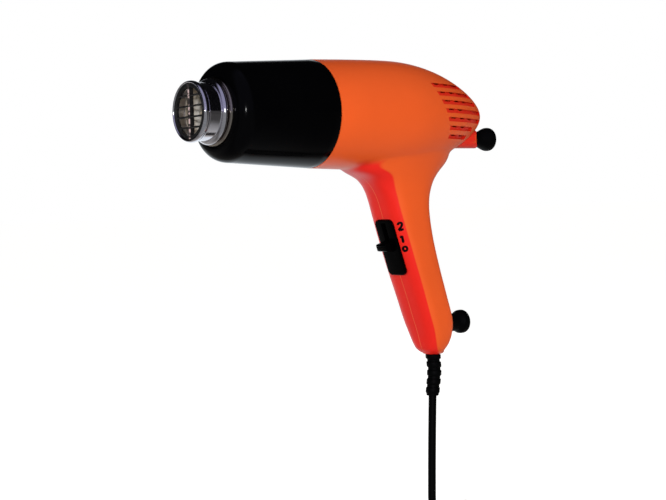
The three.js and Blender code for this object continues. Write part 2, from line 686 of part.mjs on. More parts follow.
const cordRadius = cordDiameter / 2;
const clampHalf = 4.6;
for (const [name, y0, y1] of [['cord_clamp', cordRadius + gap, cordRadius + gap + 2.4],
  ['cord_saddle', -cordRadius - gap - 4, -cordRadius - gap]]) {
  add(name, block(cordX - clampHalf, cordX + clampHalf, y0, y1, clampZ - 3.2, clampZ + 3.2), 'clamp');
}

// Rubber feet: the tool can stand on them with the nozzle up. Each has a wide flat end.
function footHead(endX, neckX, neckRadius) {
  return [
    [endX, 0], [endX, footHeadRadius - 1], [endX + 0.5, footHeadRadius - 0.3], [endX + 1.8, footHeadRadius],
    [endX + 4.5, footHeadRadius - 0.2], [neckX, neckRadius],
  ];
}
const upperFootLength = 12.5;
const lowerShoulder = 18.3;      // from the lower foot's flat end to where its stem begins
add('upper_foot', turnedX([
  ...footHead(upperFootX - upperFootLength, upperFootX, footBossRadius - 1.3),
  [upperFootX, footStem], [upperFootX + 17, footStem], [upperFootX + 17, 0],
], 18).translate(0, 0, upperFootZ), 'rubber');
add('lower_foot', turnedX([
  ...footHead(lowerFootX, lowerFootX + 7.9, footNeck + 1.2), [lowerFootX + lowerShoulder, footNeck + 1],
  [lowerFootX + lowerShoulder, footNeck], [lowerFootX + lowerShoulder + 5.5, footNeck],
  [lowerFootX + lowerShoulder + 5.5, 0],
], 18).translate(0, 0, lowerFootZ), 'rubber');

// Cord: it leaves the grip with a slight slant, hangs to the surface and lies there in a tied coil
const hang = (z) => cordX + (cordOutZ - z) * cordTilt;
const coilBase = floorZ + 2;
const coilTop = coilBase + cordRadius + (coilLayers - 1) * coilPitch;
const coilOuter = coilMiddleRadius + coilPitch;
const turnSteps = 24;
const loopsPerLayer = coilLoops / coilLayers;
const coilX = -98 - 28;          // the hanging cord meets the coil on its +Y side, running towards -X
const coilY = -coilOuter;

function coilPoint(turns) {
  const phase = turns % (2 * loopsPerLayer);
  const inset = phase <= loopsPerLayer ? phase : 2 * loopsPerLayer - phase;
  let level = 0;
  for (let k = 1; k < coilLayers; k++) {
    const t = THREE.MathUtils.clamp((turns - k * loopsPerLayer) * 2 + 0.5, 0, 1);
    level += t * t * (3 - 2 * t);
  }
  const radius = coilOuter - coilPitch * inset;
  const a = Math.PI / 2 + 2 * Math.PI * turns;
  return new THREE.Vector3(coilX + radius * Math.cos(a), coilY + radius * Math.sin(a), coilTop - coilPitch * level);
}

const loopPoints = Array.from({ length: coilLoops * turnSteps + 1 }, (_, k) => coilPoint(k / turnSteps));
const straightEnd = new THREE.Vector3(cordDiameter, 0, 0);
const coilStart = loopPoints[0].clone().add(straightEnd);
const coilEnd = loopPoints[loopPoints.length - 1].clone().sub(straightEnd);
const coilPoints = [coilStart, ...loopPoints, coilEnd];
let leastGap = Infinity;
coilPoints.forEach((p, i) => coilPoints.forEach((q, j) => {
  if (j - i > turnSteps / 2) leastGap = Math.min(leastGap, p.distanceTo(q) - cordDiameter);
}));
console.log(`least gap of the coil to itself ${leastGap.toFixed(2)} mm`);
add('cord_coil', winding(coilPoints, cordRadius, 6), 'cable');

const leadRoute = [
  [hang(cordEndZ), 0, cordEndZ], [hang(cordOutZ), 0, cordOutZ], [hang(-196), 0, -196], [-99.9, 0, -229],
  [-98.6, 0, -258], [-98.4, 0, -272], [-100.6, 0, -283.5], [-107.5, 0, -291.6],
  [coilStart.x + 4, 0, coilTop], [coilStart.x + gap, 0, coilTop],
];
add('cord_lead', rod(leadRoute, cordRadius, 8, 24), 'cable');

const tailStart = coilEnd;
const plugZ = floorZ + 12.6;
const plugBackX = tailStart.x - 38;
const tailRoute = [
  [tailStart.x - gap, 0, tailStart.z], [tailStart.x - 6, 0, tailStart.z], [tailStart.x - 22, 0, tailStart.z + 2.6],
  [plugBackX + 10, 0, plugZ - 1], [plugBackX + gap, 0, plugZ],
];
add('cord_tail', rod(tailRoute, cordRadius, 10, 10), 'cable');

// Tie round the coil's bundle of loops
const bundleIn = coilMiddleRadius - coilPitch - cordRadius - 0.8;
const bundleOut = coilOuter + cordRadius + 0.5;
const tieThick = 1.2;
const [tieLow, tieHigh] = [coilBase - 0.4, coilTop + cordRadius + 0.5];
add('cable_tie', shape(
  solid(block(-bundleOut - tieThick, -bundleIn + tieThick, -2, 2, tieLow - tieThick, tieHigh + tieThick))
    .subtract(solid(block(-bundleOut, -bundleIn, -3, 3, tieLow, tieHigh)))
    .add(solid(block(-bundleOut - 4, -bundleOut - 0.5, -2.8, 2.8, tieHigh - 6, tieHigh - 1)))
    .translate([coilX, coilY, 0])), 'clamp');

// Two-pin mains plug without earth
function plugSection([x, halfY, halfZ, square]) {
  const bulge = (v) => Math.sign(v) * Math.abs(v) ** (2 / square);
  return Array.from({ length: 24 }, (_, k) => new THREE.Vector3(
    plugBackX + x, halfY * bulge(Math.cos(Math.PI * k / 12)), plugZ + halfZ * bulge(Math.sin(Math.PI * k / 12))));
}
add('plug_body', loft([
  [0, 4.6, 4.6, 2], [-10, 6.2, 6, 2.1], [-16, 11, 9, 2.4], [-24, 16.5, 11.4, 2.7], [-33, 18, 12.2, 2.9],
  [-40, 18, 12.2, 2.9], [-41, 17.2, 11.4, 2.9],
].map(plugSection)), 'rubber');
for (const [k, side] of [[1, 1], [2, -1]]) {
  const pin = [[-60, 0], [-60, 1.6], [-59, 2.4], [-41 - gap, 2.4], [-41 - gap, 0]];
  add(`plug_pin_${k}`, turnedX(pin, 14).translate(plugBackX, side * 9.5, plugZ), 'steel');
}

// Strain relief: a ribbed rubber sleeve, slanted like the cord that runs through it
const sleeveBore = cordRadius + gap;
const ribStart = -7.1;
const ribPitch = 6.05;
const ribGroove = 4.4;           // radius between the ribs
const ribs = [0, 1, 2, 3].flatMap((k) => {
  const z = ribStart - k * ribPitch;
  const r = 5.2 - 0.08 * k;
  return [[z, ribGroove], [z - 0.5, r], [z - 3.8, r], [z - 4.3, ribGroove]];
});
add('strain_relief', turnedZ([
  [collarHigh, sleeveBore], [collarHigh, collarRadius], [collarLow, collarRadius], [collarLow, reliefRadius - gap],
  [-2.1, reliefRadius - gap], [-2.1, 5.4], [-5.2, 5.4], [-5.7, ribGroove],
  ...ribs, [-31.2, 4.1], [-31.2, sleeveBore], [collarHigh, sleeveBore],
], 10).rotateY(-cordTilt).translate(cordX, 0, cordOutZ), 'rubber');

// Leads inside the grip: from the cord's end past the capacitor to the switch, and on to the motor
const leadRadius = 0.9;
const leadSpread = 1.3;
const besideCapacitor = capacitorHalf + 3.3;
const switchRearX = switchX - 21;
const motorRearX = motorBackX - 8.6;
const cordTopX = hang(cordEndZ);
add('brown_lead', rod([
  [cordTopX, leadSpread, cordEndZ + 1.2], [cordTopX, 8, cordEndZ + 6.6],
  [capacitorX - 3, besideCapacitor, capacitorZ + 1], [capacitorX + 2, besideCapacitor - 0.8, capacitorZ + 17],
  [switchRearX - 2.6, 3, switchZ - 3.7], [switchRearX, 0, switchZ + 6.7],
], leadRadius, 5, 14), 'brownWire');
add('blue_lead', rod([
  [cordTopX, -leadSpread, cordEndZ + 1.2], [cordTopX, -8, cordEndZ + 6.6],
  [capacitorX - 3, -besideCapacitor, capacitorZ + 1], [capacitorX + 1, -besideCapacitor + 0.2, capacitorZ + 17],
  [switchRearX - 4.6, -8, switchZ + 0.3], [switchRearX - 1.1, -5, switchZ + 26.3],
  [switchRearX - 0.6, -4, switchZ + 40.3], [motorRearX - 1.8, -4, -36], [motorRearX - 3.4, -4, -18],
  [motorRearX - 0.1, -5, -8.4],
], leadRadius, 5, 20), 'blueWire');
add('motor_lead', rod([
  [switchRearX + 1.8, 0, switchZ + 14.7], [switchRearX - 0.8, 1, switchZ + 22.3],
  [switchRearX - 0.9, 2, switchZ + 34.3], [motorRearX - 1.8, 2, -40], [motorRearX - 3.4, 1.6, -20],
  [motorRearX, 0, -9.4],
], leadRadius, 5, 14), 'brownWire');

export default tool;
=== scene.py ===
# Hot air tool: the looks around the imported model, for Blender 4.5.
# Lengths are in millimetres in the barrel frame: X = 0 at the joint of shield and housing, Z = 0 on the
# barrel's axis, +X the way the air blows. place() turns them into the model's metres.
import json
import math

import bmesh
import bpy
import numpy as np
from mathutils import Matrix, Vector
from mathutils.bvhtree import BVHTree


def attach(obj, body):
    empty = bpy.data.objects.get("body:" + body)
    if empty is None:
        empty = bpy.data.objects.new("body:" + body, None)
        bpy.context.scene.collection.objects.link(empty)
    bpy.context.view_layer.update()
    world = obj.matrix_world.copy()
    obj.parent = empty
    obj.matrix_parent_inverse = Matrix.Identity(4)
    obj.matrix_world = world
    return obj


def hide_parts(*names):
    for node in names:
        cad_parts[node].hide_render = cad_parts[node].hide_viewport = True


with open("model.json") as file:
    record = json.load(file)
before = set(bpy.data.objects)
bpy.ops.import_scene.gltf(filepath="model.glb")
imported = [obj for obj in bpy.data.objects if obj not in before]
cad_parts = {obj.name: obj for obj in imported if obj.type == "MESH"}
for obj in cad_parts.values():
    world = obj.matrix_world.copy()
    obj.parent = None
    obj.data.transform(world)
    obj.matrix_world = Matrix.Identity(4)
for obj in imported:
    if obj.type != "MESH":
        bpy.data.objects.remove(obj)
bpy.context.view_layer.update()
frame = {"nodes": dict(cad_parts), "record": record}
nodes = frame["nodes"]
scene = bpy.context.scene
scene.view_settings.view_transform = "Standard"

# Sizes that several pieces share
MM = 0.001
GRIP_X, GRIP_Z = -86.5, -100.0       # the model's origin, the middle of the grip
GAP = 0.3                            # between neighbours
WALL = 2.5                           # of the housing
JOINT_RADIUS = 35.5                  # of the housing where the shield meets it
TAIL_X = -153.0
UPPER_FOOT_X, UPPER_FOOT_Z = -152.2, -15.8
LOWER_FOOT_X, LOWER_FOOT_Z = -133.3, -146.3
FOOT_RADIUS, FOOT_STEM, FOOT_NECK = 8.4, 3.2, 5.2
FOOT_BOSS_RADIUS = 6.5
FLOOR_Z = -316.0
OUTSIDE = 60                         # a distance from the axis that is clear of the barrel


def model_x(x):
    return (x - GRIP_X) * MM


def model_z(z):
    return (z - GRIP_Z) * MM


def place(x, y, z):
    return Vector((model_x(x), y * MM, model_z(z)))


def add_object(name, data):
    ob = bpy.data.objects.new(name, data)
    scene.collection.objects.link(ob)
    return ob


# Camera, at the photograph's angle
FOCAL, SENSOR_WIDTH = 71.92, 36
CAMERA_PLACE = place(528.2, 694.26, -60.2)
TO_RIGHT = Vector((-0.78555, 0.61793, -0.03281))
UPWARDS = Vector((-0.04646, -0.00602, 0.9989))
BACKWARDS = Vector((0.61706, 0.78621, 0.03344))
camera_data = bpy.data.cameras.new("camera")
camera_data.lens = FOCAL
camera_data.sensor_width = SENSOR_WIDTH
camera = add_object("camera", camera_data)
camera_turn = Matrix((TO_RIGHT, UPWARDS, BACKWARDS)).transposed().to_4x4()
camera.matrix_world = Matrix.Translation(CAMERA_PLACE) @ camera_turn
scene.camera = camera

# Cord: it hangs from the grip to the surface below the tool and lies there in a tied coil
CORD_RADIUS = 2.8
CORD_X, CORD_OUT_Z, CORD_TILT = -103.4, -165.2, 0.055
CORD_TOP_Z = -143
GLAND_END_Z, RELIEF_END_Z = -166.8, -196.4
RELIEF_BOW, BOW_SKEW = 1.4, 0.85
LEAD_BENDS = [(-99.9, -229), (-98.6, -258), (-98.4, -272), (-100.6, -283.5), (-107.5, -291.6)]
COIL_X, COIL_Y, COIL_OUTER = -126.0, -39.8, 39.8
COIL_PITCH, COIL_LOOPS, COIL_LAYERS = 6.2, 8, 4
LAYER_STEP = 0.5                     # the turns in which the cord passes from one layer to the next
COIL_BASE = FLOOR_Z + 2
COIL_TOP = COIL_BASE + CORD_RADIUS + (COIL_LAYERS - 1) * COIL_PITCH
POINTS_PER_LOOP, STEPS_PER_BEND = 60, 10
TAIL_LENGTH = 38
PLUG_Z = FLOOR_Z + 12.6
SHORTEST_STEP = 0.05


def clamped(value):
    return min(max(value, 0), 1)


def catmull(points, steps):
    """Points along a smooth line through the given ones, with that many steps between two of them."""
    p = np.array(points, float)
    p = np.vstack([2 * p[0] - p[1], p, 2 * p[-1] - p[-2]])
    out = []
    for k in range(1, len(p) - 2):
        a, b, c, d = p[k - 1:k + 3]
        for s in range(steps):
            t = s / steps
            out.append(0.5 * (2 * b + (c - a) * t + (2 * a - 5 * b + 4 * c - d) * t ** 2
                              + (3 * b - a - 3 * c + d) * t ** 3))
    out.append(p[-2])
    return np.array(out)


def hang(z):
    """The cord's X at a height, while it leaves the grip straight."""
    return CORD_X + (CORD_OUT_Z - z) * CORD_TILT


def bow(z):
    """How far the strain relief and the cord in it bow backwards at a height."""
    t = clamped((GLAND_END_Z - z) / (GLAND_END_Z - RELIEF_END_Z))
    return -RELIEF_BOW * math.sin(math.pi * t ** BOW_SKEW) ** 2


def coil_point(turns):
    """The loops go inwards in one layer and outwards in the next."""
    per_layer = COIL_LOOPS / COIL_LAYERS
    phase = turns % (2 * per_layer)
    inset = phase if phase <= per_layer else 2 * per_layer - phase
    level = 0
    for k in range(1, COIL_LAYERS):
        t = clamped((turns - k * per_layer) / LAYER_STEP + 0.5)
        level += t * t * (3 - 2 * t)
    radius = COIL_OUTER - COIL_PITCH * inset
    a = math.pi / 2 + 2 * math.pi * turns
    return (COIL_X + radius * math.cos(a), COIL_Y + radius * math.sin(a), COIL_TOP - COIL_PITCH * level)


loops = [coil_point(k / POINTS_PER_LOOP) for k in range(COIL_LOOPS * POINTS_PER_LOOP + 1)]
coil_start = (loops[0][0] + 2 * CORD_RADIUS, loops[0][1], loops[0][2])
coil_end = (loops[-1][0] - 2 * CORD_RADIUS, loops[-1][1], loops[-1][2])
PLUG_BACK = coil_end[0] - TAIL_LENGTH
lead_straight = [(hang(z), 0, z) for z in (CORD_TOP_Z, CORD_OUT_Z, RELIEF_END_Z + 0.4)]
lead_bends = [(x, 0, z) for x, z in LEAD_BENDS] + [(coil_start[0] + 4, 0, COIL_TOP)]
lead = catmull(lead_straight + lead_bends + [coil_start], STEPS_PER_BEND)
tail = catmull([
    coil_end,
    (coil_end[0] - 6, 0, coil_end[2]),
    (coil_end[0] - 22, 0, coil_end[2] + 2.6),
    (PLUG_BACK + 10, 0, PLUG_Z - 1),
    (PLUG_BACK + GAP, 0, PLUG_Z),
], STEPS_PER_BEND)
cord_exit = (hang(GLAND_END_Z), 0, GLAND_END_Z)
hanging = [(x + bow(z), y, z) for x, y, z in lead if z < GLAND_END_Z - 1]
cord_line = [cord_exit] + hanging + loops + [tuple(p) for p in tail]
steps = list(zip(cord_line, cord_line[1:]))
cord_line = [cord_exit] + [q for p, q in steps if math.dist(p, q) > SHORTEST_STEP]


def round_wire(name, points, radius, resolution=3):
    """A round tube along a line of points."""
    curve = bpy.data.curves.new(name, "CURVE")
    curve.dimensions = "3D"
    curve.bevel_depth = radius * MM
    curve.bevel_resolution = resolution
    curve.use_fill_caps = True
    spline = curve.splines.new("POLY")
    spline.points.add(len(points) - 1)
    for point, p in zip(spline.points, points):
        point.co = (*place(*p), 1)
    return add_object(name, curve)


cord = round_wire("mains_cord", cord_line, CORD_RADIUS, 5)


# Material helpers: most take a node tree and give back the socket of their result
def new_material(name):
    m = bpy.data.materials.new(name)
    m.use_nodes = True
    return m, m.node_tree, m.node_tree.nodes["Principled BSDF"]


def coordinates(nt, which="Object"):
    return nt.nodes.new("ShaderNodeTexCoord").outputs[which]


def xyz(nt, vector):
    """The X, Y and Z of a vector, by name."""
    n = nt.nodes.new("ShaderNodeSeparateXYZ")
    nt.links.new(vector, n.inputs[0])
    return n.outputs


def towards(nt, vector, direction):
    """How far a vector points in a fixed direction of the model."""
    n = nt.nodes.new("ShaderNodeVectorMath")
    n.operation = "DOT_PRODUCT"
    nt.links.new(vector, n.inputs[0])
    n.inputs[1].default_value = direction
    return n.outputs["Value"]


def noise(nt, scale, detail=3.0, stretch=None):
    n = nt.nodes.new("ShaderNodeTexNoise")
    n.inputs["Scale"].default_value = scale
    n.inputs["Detail"].default_value = detail
    vector = coordinates(nt)
    if stretch:
        mapping = nt.nodes.new("ShaderNodeMapping")
        mapping.inputs["Scale"].default_value = stretch
        nt.links.new(vector, mapping.inputs["Vector"])
        vector = mapping.outputs["Vector"]
    nt.links.new(vector, n.inputs["Vector"])
    return n.outputs["Fac"]


def ramp(nt, value, stops):
    r = nt.nodes.new("ShaderNodeValToRGB")
    elements = r.color_ramp.elements
    while len(elements) < len(stops):
        elements.new(0.5)
    for element, (at, color) in zip(elements, stops):
        element.position = at
        element.color = (*color, 1)
    nt.links.new(value, r.inputs["Fac"])
    return r.outputs["Color"]


def span(nt, value, low, high, from_low=0.0, from_high=1.0, smooth=False):
    """Turns a value between from_low and from_high into one between low and high."""
    m = nt.nodes.new("ShaderNodeMapRange")
    if smooth:
        m.interpolation_type = "SMOOTHSTEP"
    for key, number in (("From Min", from_low), ("From Max", from_high), ("To Min", low), ("To Max", high)):
        m.inputs[key].default_value = number
    nt.links.new(value, m.inputs["Value"])
    return m.outputs["Result"]


def rise(nt, value, start, end, smooth=True):
    """0 up to start, 1 from end on."""
    return span(nt, value, 0, 1, start, end, smooth)


def fall(nt, value, start, end, smooth=True):
    """1 up to start, 0 from end on."""
    return span(nt, value, 1, 0, start, end, smooth)


def math_node(nt, how, *values):
    n = nt.nodes.new("ShaderNodeMath")
    n.operation = how
    for socket, value in zip(n.inputs, values):
        if isinstance(value, (int, float)):
            socket.default_value = value
        else:
            nt.links.new(value, socket)
    return n.outputs[0]


def product(nt, first, *others):
    for value in others:
        first = math_node(nt, "MULTIPLY", first, value)
    return first


def mix(nt, factor, a, b):
    n = nt.nodes.new("ShaderNodeMix")
    n.data_type = "RGBA"
    for key, value in ((0, factor), (6, a), (7, b)):
        if isinstance(value, tuple):
            n.inputs[key].default_value = (*value, 1)
        elif isinstance(value, float):
            n.inputs[key].default_value = value
        else:
            nt.links.new(value, n.inputs[key])
    return n.outputs[2]


def bump(nt, bsdf, value, strength):
    b = nt.nodes.new("ShaderNodeBump")
    b.inputs["Strength"].default_value = strength
    b.inputs["Distance"].default_value = BUMP_DEPTH * MM
    nt.links.new(value, b.inputs["Height"])
    nt.links.new(b.outputs["Normal"], bsdf.inputs["Normal"])


def shade(color, factor):
    return tuple(min(1.0, c * factor) for c in color)


def mottled(nt, value, color, vary):
    """The colour made darker and lighter by a share, as the value goes down and up."""
    return ramp(nt, value, [(0.3, shade(color, 1 - vary)), (0.7, shade(color, 1 + vary))])


BUMP_DEPTH = 0.05
CLOUD_SCALE, PATCH_SCALE, STREAK_SCALE = 28, 90, 30
STREAK_STRETCH = (1, 60, 60)         # drawn along the barrel


def plastic(name, color, rough, vary=0.06, grain=2600, strength=0.06, specular=0.5):
    m, nt, bsdf = new_material(name)
    nt.links.new(mottled(nt, noise(nt, CLOUD_SCALE), color, vary), bsdf.inputs["Base Color"])
    nt.links.new(span(nt, noise(nt, PATCH_SCALE), rough - 0.04, rough + 0.05), bsdf.inputs["Roughness"])
    bsdf.inputs["Specular IOR Level"].default_value = specular
    bump(nt, bsdf, noise(nt, grain, 2), strength)
    return m


def metal(name, color, rough):
    m, nt, bsdf = new_material(name)
    bsdf.inputs["Metallic"].default_value = 1.0
    streaks = noise(nt, STREAK_SCALE, 5, STREAK_STRETCH)
    nt.links.new(mottled(nt, streaks, color, 0.1), bsdf.inputs["Base Color"])
    nt.links.new(span(nt, streaks, rough * 0.8, rough * 1.25), bsdf.inputs["Roughness"])
    bump(nt, bsdf, streaks, 0.05)
    return m


ORANGE = (0.81, 0.102, 0.014)
# Painted shade: the red stands for the orange plastic in shade, on the grip's front, the foot's boss and in
# the slots
SHADE_RED = (0.78, 0.014, 0.007)
SLOT_SHADE_RED = (0.7, 0.014, 0.01)
SEAM_HIGHLIGHT = (0.85, 0.2, 0.08)
FORWARDS_AND_DOWN = (0.75, 0, -0.66)
RED_STARTS, RED_FULL = 0.43, 0.53    # how far a face looks forwards and down
RED_NARROWING = 0.1                  # added to both towards the grip's lower end
NARROWEST_Z, WIDEST_Z = -150, -90
# Where the painted red shade ends, each as the places of its full strength and of its end
RED_TOP_Z, RED_FRONT_X = (-35, -30), (-34, -24)
BOSS_END_X, BOSS_ROOT_RED_X = (-147, -146), (-126, -124)
BOSS_RED_RADIUS = (FOOT_BOSS_RADIUS + 0.1, FOOT_BOSS_RADIUS + 0.4)
SEAM_HIGHLIGHT_HALF = (0.16, 0.34)


def housing_plastic(name, in_slots):
    """Orange plastic with painted shade: red on the grip's front and on the boss, redder still in the slots;
    and a painted highlight, a pale line where the halves meet.
    """
    m, nt, bsdf = new_material(name)
    orange = mottled(nt, noise(nt, 22), ORANGE, 0.03)
    normal = coordinates(nt, "Normal")
    point = xyz(nt, coordinates(nt))

    # Painted shade: faces that look forwards and down are drawn red
    narrower = span(nt, point["Z"], RED_NARROWING, 0, model_z(NARROWEST_Z), model_z(WIDEST_Z))
    facing = math_node(nt, "SUBTRACT", towards(nt, normal, FORWARDS_AND_DOWN), narrower)
    forwards = rise(nt, facing, RED_STARTS, RED_FULL)
    below_barrel = fall(nt, point["Z"], *map(model_z, RED_TOP_Z))
    behind_front = fall(nt, point["X"], *map(model_x, RED_FRONT_X))
    grip_front_shade = product(nt, below_barrel, behind_front, forwards)

    # Painted shade: the boss under the tail is drawn red
    boss_side = fall(nt, math_node(nt, "ABSOLUTE", xyz(nt, normal)["X"]), 0.12, 0.2, False)
    boss_end = fall(nt, point["X"], *map(model_x, BOSS_END_X), False)
    boss_root = fall(nt, point["X"], *map(model_x, BOSS_ROOT_RED_X), False)
    off_axis = math_node(nt, "ABSOLUTE", math_node(nt, "SUBTRACT", point["Z"], model_z(UPPER_FOOT_Z)))
    boss_height = fall(nt, off_axis, *(r * MM for r in BOSS_RED_RADIUS), False)
    boss = product(nt, math_node(nt, "MAXIMUM", boss_side, boss_end), boss_root, boss_height, 0.9)

    color = mix(nt, math_node(nt, "MAXIMUM", grip_front_shade, boss), orange, SHADE_RED)
    # Painted highlight: a pale line along the joint of the halves, on the faces that look forwards
    seam_highlight = fall(nt, math_node(nt, "ABSOLUTE", point["Y"]), *(y * MM for y in SEAM_HIGHLIGHT_HALF))
    color = mix(nt, product(nt, forwards, 0.6, seam_highlight), color, SEAM_HIGHLIGHT)
    # Painted shade: the grooves and windows of the slots are drawn redder
    if in_slots:
        color = mix(nt, 0.85, color, SLOT_SHADE_RED)
    nt.links.new(color, bsdf.inputs["Base Color"])
    nt.links.new(span(nt, noise(nt, 70), 0.33, 0.42), bsdf.inputs["Roughness"])
    bsdf.inputs["Specular IOR Level"].default_value = 0.05 if in_slots else 0.25
    bump(nt, bsdf, noise(nt, 2800, 2), 0.10)
    return m


def grille_metal():
    """Dark wire. The upright bar is pale only on its front face, with marks along it, and its dark sides are
    painted shade.
    """
    m, nt, bsdf = new_material("grille_wire")
    edge_y, edge_half, edge_fade = 0.2, 0.8, 0.95
    # Painted shade: only the upright bar's front face is pale; its sides keep the dark of the wire
    front = rise(nt, xyz(nt, coordinates(nt, "Normal"))["X"], 0.9, 0.97, False)
    off_edge = math_node(nt, "SUBTRACT", xyz(nt, coordinates(nt))["Y"], edge_y * MM)
    middle = fall(nt, math_node(nt, "ABSOLUTE", off_edge), edge_half * MM, edge_fade * MM, False)
    marks = span(nt, noise(nt, 520, 2, (0.05, 0.2, 1)), 0.05, 1, 0.48, 0.54)
    unshaded_front = product(nt, front, middle, marks)
    nt.links.new(mix(nt, unshaded_front, (0.004, 0.004, 0.004), (0.6, 0.45, 0.43)), bsdf.inputs["Base Color"])
    nt.links.new(span(nt, noise(nt, 600), 0.4, 0.6), bsdf.inputs["Roughness"])
    return m


def browned_mica():
    """Pale sheet, browned by the heat towards the outlet."""
    m, nt, bsdf = new_material("mica_tube_sheet")
    pale = ramp(nt, noise(nt, 40), [(0.3, (0.86, 0.83, 0.76)), (0.7, (0.98, 0.96, 0.92))])
    brown = rise(nt, xyz(nt, coordinates(nt))["X"], model_x(74), model_x(81))
    nt.links.new(mix(nt, brown, pale, (0.5, 0.43, 0.34)), bsdf.inputs["Base Color"])
    nt.links.new(span(nt, noise(nt, PATCH_SCALE), 0.4, 0.5), bsdf.inputs["Roughness"])
    bump(nt, bsdf, noise(nt, 900, 2), 0.2)
    return m


JET = (0.0008, 0.0008, 0.001)
mat = {
    "orange": housing_plastic("orange_plastic", False),
    "deep": housing_plastic("orange_plastic_slot_shade", True),
    "shield": plastic("shield_black", JET, 0.13, vary=0.2, grain=2000, strength=0.02, specular=0.04),
    "chrome": metal("rolled_steel", (0.62, 0.6, 0.64), 0.1),
    "ring": metal("ring_steel", (0.34, 0.3, 0.26), 0.14),
    "grille": grille_metal(),
    "mica": plastic("mica_sheet", (0.72, 0.64, 0.5), 0.6, vary=0.2, grain=900, strength=0.2),
    "mica_tube": browned_mica(),
    "wire": metal("resistance_wire", (0.3, 0.2, 0.15), 0.4),
    "ceramic": plastic("ceramic", (0.72, 0.66, 0.54), 0.6, vary=0.1, grain=800, strength=0.2),
    "zinc": metal("zinc_steel", (0.35, 0.35, 0.37), 0.32),
    "black": plastic("black_plastic", (0.0006, 0.0006, 0.0007), 0.2, vary=0.2, strength=0.04, specular=0.025),
    "board": plastic("board_green", (0.03, 0.12, 0.05), 0.5, vary=0.15, grain=1200, strength=0.1),
    "brass": metal("brass", (0.6, 0.42, 0.18), 0.3),
    "yellow": plastic("capacitor_case", (0.5, 0.35, 0.05), 0.4, vary=0.05),
    "pale": plastic("pale_plastic", (0.6, 0.58, 0.52), 0.5, vary=0.05),
    "rubber": plastic("rubber", JET, 0.55, vary=0.25, grain=1800, strength=0.25, specular=0.05),
    "cord": plastic("cord_sheath", JET, 0.48, vary=0.2, grain=1500, strength=0.15, specular=0.05),
    "brown": plastic("brown_insulation", (0.13, 0.04, 0.012), 0.45),
    "blue": plastic("blue_insulation", (0.02, 0.08, 0.35), 0.45),
    "ink": plastic("digit_ink", (0.001, 0.001, 0.001), 0.5, vary=0.1, specular=0.1),
}
SLOT_MATERIAL = {
    "housing": "orange", "shield": "shield", "nozzle": "chrome", "grille": "grille", "mica": "mica",
    "heater_wire": "wire", "ceramic": "ceramic", "dark_steel": "zinc", "fan_plastic": "black",
    "board": "board", "brass": "brass", "switch": "black", "capacitor": "yellow", "clamp": "pale",
    "rubber": "rubber", "cord": "cord", "brown_wire": "brown", "blue_wire": "blue",
}


def dress(ob, material):
    ob.data.materials.clear()
    ob.data.materials.append(mat[material])


for part in frame["record"]["subparts"]:
    dress(nodes[part["node"]], SLOT_MATERIAL[part["material_slot"]])


# Mesh helpers
def new_mesh(name, vertices, faces):
    mesh = bpy.data.meshes.new(name)
    mesh.from_pydata([tuple(v) for v in vertices], [], faces)
    return mesh


def mesh_piece(name, vertices, faces):
    """A piece with doubled points joined and all faces looking outwards."""
    mesh = new_mesh(name, vertices, faces)
    bm = bmesh.new()
    bm.from_mesh(mesh)
    bmesh.ops.remove_doubles(bm, verts=bm.verts, dist=1e-7)
    bmesh.ops.recalc_face_normals(bm, faces=bm.faces)
    bm.to_mesh(mesh)
    bm.free()
    return add_object(name, mesh)


def turned(name, profile, sides=96, closed=False, put=place):
    """A turned piece. The profile is a list of (place along the axis, radius); put() places its points."""
    vertices, faces, rings = [], [], []
    for along, radius in profile:
        if radius < 1e-6:
            rings.append([len(vertices)] * sides)
            vertices.append(put(along, 0, 0))
            continue
        rings.append(list(range(len(vertices), len(vertices) + sides)))
        for k in range(sides):
            a = 2 * math.pi * k / sides
            vertices.append(put(along, radius * math.cos(a), radius * math.sin(a)))
    pairs = list(zip(rings, rings[1:]))
    if closed:
        pairs.append((rings[-1], rings[0]))
    for a, b in pairs:
        for k in range(sides):
            n = (k + 1) % sides
            corners = list(dict.fromkeys((a[k], a[n], b[n], b[k])))
            if len(corners) > 2:
                faces.append(corners)
    return mesh_piece(name, vertices, faces)


def rod(name, low, high, radius, sides=32, put=place):
    """A plain round bar from low to high."""
    return turned(name, [(low, 0), (low, radius), (high, radius), (high, 0)], sides, put=put)


def loft(name, rings):
    """A closed body through rings of points with the same count."""
    count = len(rings[0])
    vertices = [p for ring in rings for p in ring]
    last = len(vertices) - count
    faces = []
    for first in range(0, last, count):
        for k in range(count):
            n = (k + 1) % count
            faces.append((first + k, first + n, first + count + n, first + count + k))
    faces += [list(range(count))[::-1], list(range(last, last + count))]
    return mesh_piece(name, vertices, faces)


def block(name, x, y, z, put=place):
    corners = [put(a, b, c) for a in x for b in y for c in z]
    faces = [(0, 1, 3, 2), (4, 6, 7, 5), (0, 4, 5, 1), (2, 3, 7, 6), (0, 2, 6, 4), (1, 5, 7, 3)]
    return mesh_piece(name, corners, faces)


def prism(name, outline, low, high, put):
    """An outline of (a, b) points drawn out from low to high."""
    n = len(outline)
    vertices = [put(end, a, b) for end in (low, high) for a, b in outline]
    faces = [list(range(n)), list(range(n, 2 * n))]
    faces += [(k, (k + 1) % n, n + (k + 1) % n, n + k) for k in range(n)]
    return mesh_piece(name, vertices, faces)


def arc(x, y, rx, ry, start, end, steps):
    """Points on an oval from one angle to another, in degrees."""
    points = []
    for k in range(steps + 1):
        a = math.radians(start + (end - start) * k / steps)
        points.append((x + rx * math.cos(a), y + ry * math.sin(a)))
    return points


